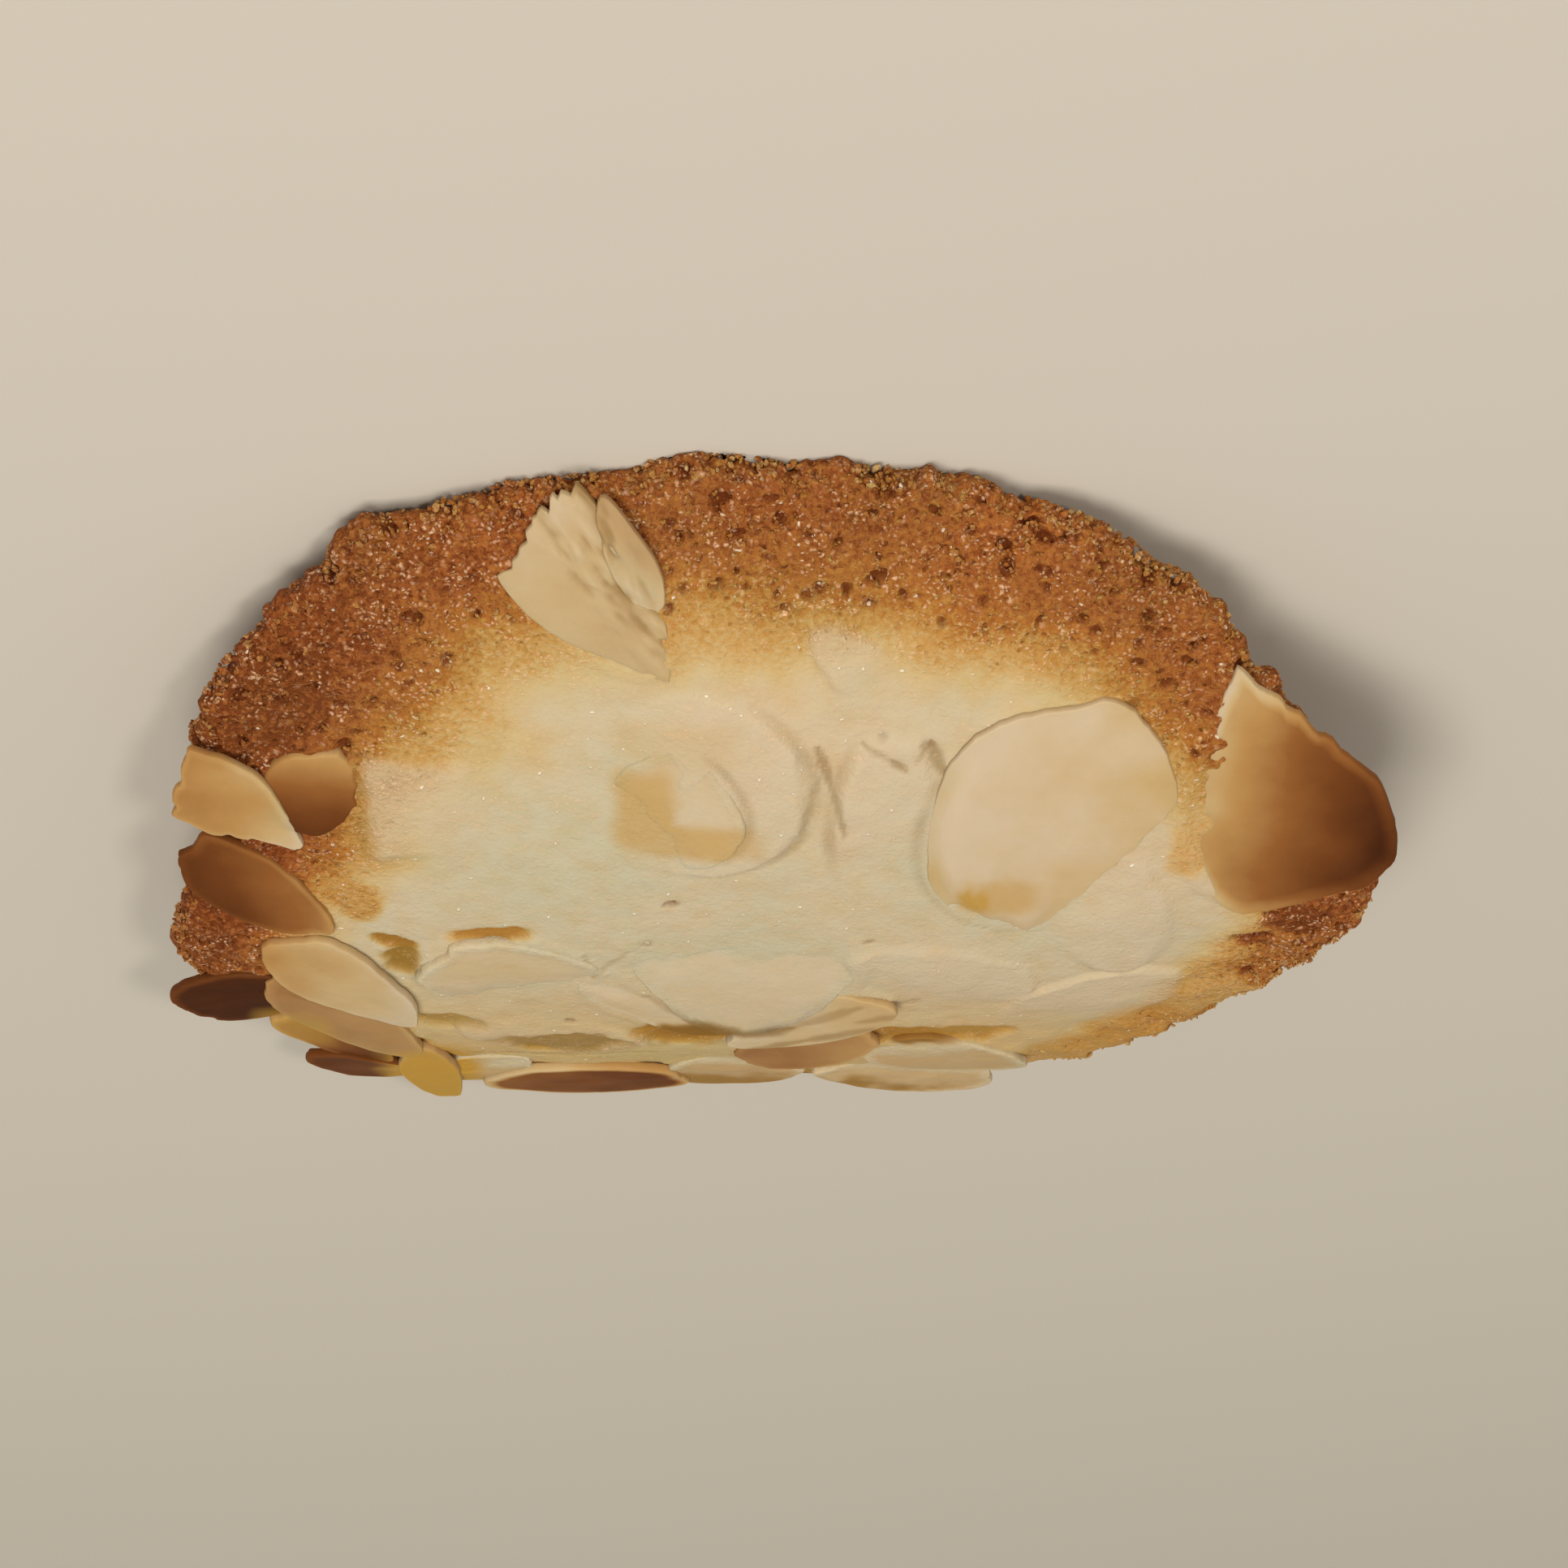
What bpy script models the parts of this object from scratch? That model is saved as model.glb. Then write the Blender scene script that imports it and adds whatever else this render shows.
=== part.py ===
"""Almond tuile: a thin round biscuit baked flat, bent into a shallow arch while hot,
with flaked almonds baked into its outer face. One fused solid resting on its two end rims.
Lengths in the tables are millimetres; the finished mesh is in metres."""
import bpy
import bmesh
import numpy as np
from math import cos, pi, radians, sin

MM = 0.001

# Driving dimensions, millimetres and degrees
ARCH_RADIUS = 88.0        # underside of the bend, axis along X
LEAN = 1.5                # how far along the bend the crown lies from the middle of the outline
THICK_CENTRE = 3.3        # dough at the middle
THICK_RIM = 2.2           # dough at the rim
SEAT_LEVEL = 80.95        # the seat's height over the axis of the bend
CENTRE_SHIFT = (-0.25, -0.32)

# Unevenness of the dough: height of the swells and waves
SWAY = 0.55               # slow warp of the whole arch
TOP_SWELL = 0.22
TOP_COARSE = 0.30         # lumps of the browned outer band, coarse and fine
TOP_FINE = 0.20
UNDER_WAVE = 0.16
CRAG_COARSE = 0.65        # crags of the rim, coarse and fine
CRAG_FINE = 0.45
BAND_START = 0.72         # the browned band, as a share of the rim radius
BAND_END = 0.92

# The body mesh: 21 hexagonal rings give 126 points round the rim
RINGS = 21
FACE_REACH = 0.985        # the faces' rings stop short of the rim, which bulges past them
FACE_EDGE = 0.982
EDGE_TOP = 0.25           # how far the faces' edges are rounded off, above and below
EDGE_UNDER = 0.30
RIM_MIDDLE = 0.48         # height of the rim's widest line between the two faces

# The flake meshes
FLAKE_POINTS = 16         # points round one almond flake
FLAKE_PROUD = 0.55        # a flake higher than this stands proud, a lower one lies in the dough
FLAKE_DEEP = 1.45         # how far a flake that lies low in the dough reaches down from its face
FLAKE_SHALLOW = 1.15      # the same for a flake that stands proud of it
FLAKE_FACE = (0.35, 0.05)  # inset and drop of the face's edge
FLAKE_SIDE = 0.38         # drop of the widest line round the flake
FLAKE_FOOT = 0.12         # inset of the flake's underside
BREAK_JAG = 0.3

# Merging and cutting distances
MERGE = 0.005
ON_CUT = 0.002

# Rim radius every 15 degrees, counted from +X towards +Y
RIM_RADII = (42.9, 41.2, 39.4, 39.6, 38.2, 37.2, 36.5, 37.1, 39.1, 40.9, 41.3, 40.4,
             39.9, 44.6, 40.2, 43.4, 41.5, 39.8, 39.0, 38.8, 39.2, 39.0, 38.6, 41.8)

# Almond flakes: place across X and along the bend, length, width, turn of the tip from +X,
# how pointed the tip is, height of the face over the dough, rise along the length and across it
FLAKES = (
    ("torn_top", -11.9, 28.7, 18.0, 8.8, -53, 0.30, 0.62, -0.010, 0.020),
    ("torn_ridge", -8.6, 30.6, 9.0, 3.0, 114, 0.20, 0.96, 0.010, 0.000),
    ("left_drop", -37.3, 9.4, 14.6, 7.4, -45, 0.35, 0.92, -0.030, 0.060),
    ("left_small", -30.8, 10.4, 8.5, 7.0, 65, 0.30, 0.42, 0.000, 0.000),
    ("left_square", -23.4, 8.6, 13.5, 11.0, 88, 0.00, 0.30, -0.010, 0.010),
    ("left_brown", -35.8, 0.0, 14.0, 6.8, -48, 0.30, 0.66, 0.020, -0.020),
    ("corner_dark", -38.3, -16.2, 10.8, 8.2, 24, 0.20, 0.75, 0.000, 0.030),
    ("low_left", -30.4, -12.4, 16.0, 7.2, -54, 0.35, 0.86, 0.010, 0.020),
    ("low_left_under", -30.8, -19.9, 18.0, 7.0, -59, 0.30, 0.64, 0.000, 0.020),
    ("corner_orange", -32.0, -24.4, 13.0, 6.0, -54, 0.40, 0.40, 0.000, 0.030),
    ("corner_brown", -30.6, -31.2, 9.3, 5.3, -34, 0.30, 0.95, 0.000, 0.020),
    ("corner_yellow", -25.4, -32.5, 12.0, 4.6, -82, 0.50, 1.30, 0.100, 0.000),
    ("sunk_left", -18.6, -10.7, 13.5, 10.5, 5, 0.25, 0.42, -0.020, 0.050),
    ("ring_inner", -6.2, 9.4, 12.2, 10.6, 80, 0.35, 0.28, 0.000, -0.055),
    ("ring_outer", -4.2, 11.4, 17.5, 15.5, 95, 0.10, 0.26, 0.000, -0.025),
    ("between", 8.9, 8.7, 18.5, 7.6, 88, 0.10, 0.30, 0.005, 0.030),
    ("big_round", 20.0, 8.2, 24.0, 16.8, 76, 0.15, 0.50, -0.010, 0.042),
    ("big_under", 25.2, -2.0, 16.0, 9.0, 100, 0.20, 0.30, 0.000, -0.010),
    ("right_brown", 35.8, 10.7, 25.0, 14.7, 103, 0.85, 0.78, -0.020, -0.090),
    ("top_small", 6.4, 22.4, 8.6, 4.8, 137, 0.30, 0.38, 0.020, 0.000),
    ("mid_low", -1.2, -9.6, 20.0, 17.0, -88, 0.30, 0.36, 0.038, 0.000),
    ("mid_under", -7.4, -15.0, 14.5, 7.2, -44, 0.20, 0.30, 0.010, -0.020),
    ("mid_right", 13.0, -10.0, 15.0, 9.5, 160, 0.20, 0.26, 0.000, 0.000),
    ("low_right", 24.5, -15.5, 16.0, 10.0, 40, 0.20, 0.28, 0.000, 0.020),
    ("leaf_upper", 3.4, -17.6, 14.0, 6.6, -148, 0.35, 0.78, 0.000, 0.110),
    ("leaf_peach", 3.8, -24.0, 12.5, 6.2, 30, 0.10, 0.66, 0.000, -0.080),
    ("leaf_right", 14.2, -27.4, 13.0, 8.0, -14, 0.20, 0.50, 0.000, 0.030),
    ("leaf_left", -15.6, -22.4, 15.0, 8.6, -12, 0.20, 0.36, 0.000, 0.030),
    ("end_mid", -1.8, -31.8, 11.5, 7.2, 14, 0.25, 0.80, 0.000, -0.050),
    ("end_left", -13.2, -34.0, 16.0, 7.8, 4, 0.30, 1.00, 0.000, -0.050),
    ("end_pale", -21.4, -32.2, 9.0, 5.8, 30, 0.30, 0.85, 0.000, 0.030),
    ("end_right", 11.5, -33.2, 14.0, 7.6, 172, 0.35, 0.95, 0.000, 0.110),
)

# Straight jagged breaks: direction out from the middle of the flake, counted from its tip,
# and distance of the break from its middle
BREAKS = {
    "torn_top": ((77, 4.4), (-159, 4.8), (180, 5.8)),
    "left_drop": ((-61, 3.3), (-148, 3.0), (0, 6.8)),
    "left_small": ((-65, 3.0),),
    "left_square": ((92, 4.0), (0, 5.2), (-88, 4.2), (-168, 5.0)),
    "left_brown": ((180, 6.2),),
    "corner_dark": ((-150, 5.0),),
    "low_left": ((160, 6.8),),
    "corner_yellow": ((0, 5.2),),
    "sunk_left": ((140, 5.4),),
    "between": ((4, 7.8), (178, 7.9)),
    "big_round": ((-110, 6.3),),
    "right_brown": ((-55, 5.9), (-164, 10.6)),
    "leaf_peach": ((0, 5.6),),
    "end_mid": ((0, 5.0),),
}


def clear_scene():
    for item in list(bpy.data.objects):
        bpy.data.objects.remove(item, do_unlink=True)


def smooth_noise(x, y, seed):
    """Height from -1 to 1: hashed values on the whole-number lattice joined by smooth steps."""
    xi, yi = np.floor(x), np.floor(y)
    fx, fy = x - xi, y - yi
    fx, fy = fx * fx * (3 - 2 * fx), fy * fy * (3 - 2 * fy)

    def lattice(i, j):
        value = np.sin(i * 127.1 + j * 311.7 + seed * 74.7) * 43758.5453
        return 2 * (value - np.floor(value)) - 1

    near = lattice(xi, yi) * (1 - fx) + lattice(xi + 1, yi) * fx
    far = lattice(xi, yi + 1) * (1 - fx) + lattice(xi + 1, yi + 1) * fx
    return near * (1 - fy) + far * fy


def rim_radius(angle):
    """Rim radius at an angle: the 24 radii joined by their Fourier series, plus crags."""
    radii = np.array(RIM_RADII)
    count = len(radii)
    waves = np.fft.rfft(radii) / count
    total = np.full(np.shape(angle), waves[0].real)
    for order in range(1, count // 2):
        total = total + 2 * (waves[order] * np.exp(1j * order * np.asarray(angle))).real
    around_x, around_y = 9.0 * np.cos(angle), 9.0 * np.sin(angle)
    coarse = CRAG_COARSE * smooth_noise(around_x, around_y, 3)
    fine = CRAG_FINE * smooth_noise(2.3 * around_x, 2.3 * around_y, 5)
    return total + coarse + fine


def brown_ring(u, v):
    """From 0 in the pale middle to 1 in the browned outer band."""
    reach = np.hypot(u, v) / rim_radius(np.arctan2(v, u))
    step = np.clip((reach - BAND_START) / (BAND_END - BAND_START), 0, 1)
    return step * step * (3 - 2 * step)


def dough_top(u, v):
    """Height of the dough's outer face over the underside of the bend."""
    reach = np.clip(np.hypot(u, v) / rim_radius(np.arctan2(v, u)), 0, 1)
    height = THICK_CENTRE + (THICK_RIM - THICK_CENTRE) * reach ** 3
    swell = TOP_SWELL * smooth_noise(u / 11 + 4.2, v / 11 + 1.7, 7)
    coarse = TOP_COARSE * smooth_noise(u / 3.6, v / 3.6, 11)
    fine = TOP_FINE * smooth_noise(u / 2.1, v / 2.1, 13)
    return height + swell + brown_ring(u, v) * (coarse + fine)


def dough_under(u, v):
    """Height of the underside over the plain bend."""
    return UNDER_WAVE * smooth_noise(u / 8 + 2.6, v / 8 + 9.1, 17)


def bend(u, v, height):
    """Wraps flat places round the arch: X stays, the length along the bend becomes an angle."""
    sway = SWAY * np.sin(u / 19 + 0.6) * np.cos(v / 26 - 0.4)
    reach = ARCH_RADIUS + height + sway
    turn = (v + LEAN) / ARCH_RADIUS
    return np.stack([u, reach * np.sin(turn), reach * np.cos(turn)], axis=-1)


def ring_disc(rings):
    """A disc of hexagonal rings: fractions of the rim radius, angles and triangles."""
    reach, angle = [0.0], [0.0]
    first = [0]
    for ring in range(1, rings + 1):
        first.append(len(reach))
        for step in range(6 * ring):
            reach.append(ring / rings)
            angle.append(2 * pi * step / (6 * ring))
    faces = []
    for ring in range(1, rings + 1):
        for side in range(6):
            for step in range(ring):
                outer = side * ring + step
                inner = side * (ring - 1) + step
                a = first[ring] + outer
                b = first[ring] + (outer + 1) % (6 * ring)
                c = first[ring - 1] + (inner % (6 * (ring - 1)) if ring > 1 else 0)
                faces.append((a, b, c))
                if step < ring - 1:
                    d = first[ring - 1] + (inner + 1) % (6 * (ring - 1))
                    faces.append((c, b, d))
    return np.array(reach), np.array(angle), faces, first[rings]


def build_mesh(name, points, faces):
    mesh = bpy.data.meshes.new(name)
    mesh.from_pydata([tuple(p) for p in np.asarray(points) * MM], [], faces)
    mesh.update()
    part = bpy.data.objects.new(name, mesh)
    bpy.context.scene.collection.objects.link(part)
    return part


def make_body():
    """Dough disc: outer face, rounded rim and underside, all wrapped round the arch."""
    reach, angle, faces, rim_start = ring_disc(RINGS)
    rim_count = 6 * RINGS
    edge = np.arange(len(reach)) >= rim_start
    radius = rim_radius(angle) * np.where(edge, FACE_EDGE, reach * FACE_REACH)
    u, v = radius * np.cos(angle), radius * np.sin(angle)
    top = bend(u, v, dough_top(u, v) - EDGE_TOP * edge)
    under = bend(u, v, dough_under(u, v) + EDGE_UNDER * edge)
    rim_angle = angle[rim_start:]
    full = rim_radius(rim_angle)
    ru, rv = full * np.cos(rim_angle), full * np.sin(rim_angle)
    middle = bend(ru, rv, RIM_MIDDLE * (dough_top(ru, rv) + dough_under(ru, rv)))
    count = len(reach)
    points = np.concatenate([top, under, middle])
    all_faces = list(faces) + [(c + count, b + count, a + count) for a, b, c in faces]
    for step in range(rim_count):
        after = (step + 1) % rim_count
        t0, t1 = rim_start + step, rim_start + after
        u0, u1 = t0 + count, t1 + count
        m0, m1 = 2 * count + step, 2 * count + after
        all_faces += [(t0, m0, m1), (t0, m1, t1), (m0, u0, u1), (m0, u1, m1)]
    return build_mesh("tuile", points, all_faces)


def flake_outline(name, length, width, tip, seed):
    """Outline of a flake: a drop shape with its point at the tip, slightly wavy, then snapped
    along its breaks, where what lies beyond is moved back onto the line."""
    theta = np.arange(FLAKE_POINTS) * 2 * pi / FLAKE_POINTS
    widest = 2 * (1 + tip) ** 0.5 / (2 + tip) * ((1 + tip) / (2 + tip)) ** (tip / 2)
    wave = 1 + 0.05 * np.sin(3 * theta + seed) + 0.03 * np.sin(5 * theta + 2 * seed)
    along = 0.5 * length * np.cos(theta) * wave
    across = 0.5 * width / widest * np.sin(theta) * np.abs(np.sin(theta / 2)) ** tip * wave
    for direction, distance in BREAKS.get(name, ()):
        a, b = cos(radians(direction)), sin(radians(direction))
        jag = BREAK_JAG * np.sin(7 * theta + seed)
        beyond = np.maximum(along * a + across * b - distance - jag, 0)
        along, across = along - beyond * a, across - beyond * b
    return along, across


def make_flake(name, u0, v0, length, width, turn, tip, proud, rise, roll, seed):
    """One almond flake: a thin plate with eased edges that follows the bend."""
    along, across = flake_outline(name, length, width, tip, seed)
    size = np.hypot(along, across)
    a, b = cos(radians(turn)), sin(radians(turn))
    face_height = float(dough_top(np.array(u0), np.array(v0))) + proud

    def ring(scale, inset, drop):
        k = scale * np.clip(1 - inset / np.maximum(size, 0.5), 0.05, 1)
        x, y = along * k, across * k
        u, v = u0 + a * x - b * y, v0 + b * x + a * y
        return bend(u, v, face_height + rise * x + roll * y - drop)

    deep = FLAKE_SHALLOW if proud > FLAKE_PROUD else FLAKE_DEEP
    count = FLAKE_POINTS
    points = np.concatenate([ring(0.0, 0.0, 0.0)[:1], ring(0.5, 0.0, 0.0)[::2],
                             ring(1.0, *FLAKE_FACE), ring(1.0, 0.0, FLAKE_SIDE),
                             ring(1.0, FLAKE_FOOT, deep), ring(0.0, 0.0, deep)[:1]])
    half = count // 2
    mid, edge, side, low = 1, 1 + half, 1 + half + count, 1 + half + 2 * count
    last = len(points) - 1
    faces = []
    for step in range(half):
        after = (step + 1) % half
        e0, e1, e2 = edge + 2 * step, edge + 2 * step + 1, edge + (2 * step + 2) % count
        faces += [(0, mid + step, mid + after), (mid + step, e0, e1),
                  (mid + step, e1, mid + after), (mid + after, e1, e2)]
    for step in range(count):
        after = (step + 1) % count
        faces += [(edge + step, side + step, side + after), (edge + step, side + after, edge + after),
                  (side + step, low + step, low + after), (side + step, low + after, side + after),
                  (low + step, last, low + after)]
    return build_mesh(name, points, faces)


def fuse(body, pieces):
    """Joins the flakes to the dough with one union, then drops the separate flakes."""
    group = bpy.data.collections.new("flakes")
    bpy.context.scene.collection.children.link(group)
    for piece in pieces:
        bpy.context.scene.collection.objects.unlink(piece)
        group.objects.link(piece)
    union = body.modifiers.new("join_flakes", "BOOLEAN")
    union.operation = "UNION"
    union.operand_type = "COLLECTION"
    union.collection = group
    union.solver = "EXACT"
    union.use_self = True
    bpy.context.view_layer.objects.active = body
    bpy.context.view_layer.update()
    fused = bpy.data.meshes.new_from_object(body.evaluated_get(bpy.context.evaluated_depsgraph_get()))
    body.modifiers.clear()
    body.data = fused
    for piece in pieces:
        bpy.data.objects.remove(piece, do_unlink=True)
    bpy.data.collections.remove(group)


def connected(start):
    """All the vertices that edges join to this one."""
    found, waiting = {start}, [start]
    while waiting:
        for edge in waiting.pop().link_edges:
            for vert in edge.verts:
                if vert not in found:
                    found.add(vert)
                    waiting.append(vert)
    return found


def fill_sealed_gaps(work):
    """Removes the walls of any small hollow that the overlapping flakes have sealed."""
    outer = connected(max(work.verts, key=lambda vert: vert.co.z))
    bmesh.ops.delete(work, geom=[vert for vert in work.verts if vert not in outer], context="VERTS")


def seat_and_centre(body):
    """Cuts small flats on the two end rims, then puts the origin under the middle."""
    work = bmesh.new()
    work.from_mesh(body.data)
    fill_sealed_gaps(work)
    bmesh.ops.remove_doubles(work, verts=work.verts, dist=MERGE * MM)
    level = SEAT_LEVEL * MM
    everything = work.verts[:] + work.edges[:] + work.faces[:]
    cut = bmesh.ops.bisect_plane(work, geom=everything, dist=ON_CUT * MM, plane_co=(0, 0, level),
                                 plane_no=(0, 0, 1), clear_inner=True)
    edges = [item for item in cut["geom_cut"] if isinstance(item, bmesh.types.BMEdge)]
    bmesh.ops.holes_fill(work, edges=edges, sides=0)
    bmesh.ops.translate(work, verts=work.verts,
                        vec=(CENTRE_SHIFT[0] * MM, CENTRE_SHIFT[1] * MM, -level))
    bmesh.ops.dissolve_degenerate(work, edges=work.edges, dist=MERGE * MM)
    bmesh.ops.triangulate(work, faces=work.faces)
    bmesh.ops.recalc_face_normals(work, faces=work.faces)
    work.to_mesh(body.data)
    work.free()


def baked_material():
    material = bpy.data.materials.new("baked_crumb")
    material.use_nodes = True
    shader = next(node for node in material.node_tree.nodes if node.type == "BSDF_PRINCIPLED")
    shader.inputs["Base Color"].default_value = (0.55, 0.36, 0.17, 1)
    shader.inputs["Roughness"].default_value = 0.6
    return material


clear_scene()
tuile = make_body()
fuse(tuile, [make_flake(*row, seed=1 + index) for index, row in enumerate(FLAKES)])
seat_and_centre(tuile)
tuile.data.materials.clear()
tuile.data.materials.append(baked_material())
tuile.data.shade_smooth()
tuile.data.set_sharp_from_angle(angle=radians(38))
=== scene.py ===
"""Dresses the almond tuile: the dough with its browned porous crust, the almond slices baked into it,
and the crumbs that roughen its crust. Lengths in the tables are millimetres."""
import bpy
import numpy as np
from math import cos, degrees, pi, radians, sin
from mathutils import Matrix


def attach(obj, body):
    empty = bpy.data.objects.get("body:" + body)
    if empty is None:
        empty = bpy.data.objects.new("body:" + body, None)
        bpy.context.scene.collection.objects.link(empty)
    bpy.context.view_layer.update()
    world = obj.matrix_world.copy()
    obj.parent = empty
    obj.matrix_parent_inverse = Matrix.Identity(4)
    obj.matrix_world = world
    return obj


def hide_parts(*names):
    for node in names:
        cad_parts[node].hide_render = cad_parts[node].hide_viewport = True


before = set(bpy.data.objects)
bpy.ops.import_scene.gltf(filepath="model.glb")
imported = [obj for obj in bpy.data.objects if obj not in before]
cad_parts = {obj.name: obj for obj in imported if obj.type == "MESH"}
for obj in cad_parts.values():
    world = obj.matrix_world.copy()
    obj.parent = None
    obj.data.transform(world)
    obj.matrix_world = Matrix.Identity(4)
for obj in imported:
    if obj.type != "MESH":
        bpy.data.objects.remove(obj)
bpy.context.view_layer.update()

MM = 0.001

# Driving dimensions, as in the solid
ARCH_RADIUS = 88
LEAN = 1.5
THICK_CENTRE = 3.3
THICK_RIM = 2.2
SEAT_LEVEL = 80.95
CENTRE_SHIFT = (-0.25, -0.32)
RIM_RADII = (42.9, 41.2, 39.4, 39.6, 38.2, 37.2, 36.5, 37.1, 39.1, 40.9, 41.3, 40.4,
             39.9, 44.6, 40.2, 43.4, 41.5, 39.8, 39, 38.8, 39.2, 39, 38.6, 41.8)

# The dough's mesh: cells across its outer face, rings round its rim, rounding of the rim, and slope
# beyond which its skin counts as a face
TOP_CELLS = 264
SIDE_RINGS = 6
EDGE_ROUND = 0.95
FLAT_SLOPE = 1.5

# The slices' meshes: corners of an outline, rings on the face, round the edge and underneath
FLAKE_CORNERS = 112
FACE_RINGS = 14
EDGE_RINGS = 9
UNDER_RINGS = 4

# Thickness and edge rounding of slices in the dough and of those that stand out, face height from
# which they do, drop of a bevelled rim, and dip under the film of dough
PLATE_IN_DOUGH = (1.25, 0.34)
PLATE_STANDING = (0.72, 0.14)
LOW_FACE = 0.45
BEVEL_DROP = 0.45
FILM_DIP = 0.55

# Depth of pores, smooth hollows and cracks, depth in the table of holes that counts as a full pore,
# how far the dough creeps up a slice's edge, and face height above which it doesn't
PORE_DEPTH = 0.55
HOLLOW_DEPTH = 0.45
CRACK_DEPTH = 0.28
PIT_UNIT = 0.6
MENISCUS_RISE = 0.2
CLEAR_FACE = 0.8

# Crumbs: how many are drawn, with which seed, and how far in from the rim they thin out
CRUMB_COUNT = 9000
CRUMB_SEED = 8
CRUMB_REACH = 5

# The far end: where it begins along the bend, its least browning and the strength of its yellow cast
FAR_END = -12
FAR_TONE = 0.12
FAR_CAST = 0.17

# Viewing angle from the upright of the biscuit's middle, distance and width of the picture there, and
# how far the middle of the picture lies from the biscuit's own, to the right and up
VIEW_ANGLE = 55 + degrees(LEAN / ARCH_RADIUS)
VIEW_DISTANCE = 300
VIEW_WIDTH = 111
VIEW_OFFSET = (1.7, 8.2)

# Square lights: name, place and size in metres, power and colour. Then the room and floor.
LIGHTS = (("overhead", (-0.16, 0.22, 0.58), 0.4, 2.7, (1, 0.96, 0.9)),
          ("front", (0.2, 0.46, 0.4), 0.09, 1.2, (1, 0.95, 0.88)))
ROOM_COLOUR = (1, 0.95, 0.87, 1)
ROOM_STRENGTH = 0.26
FLOOR_HALF = 3000

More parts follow.
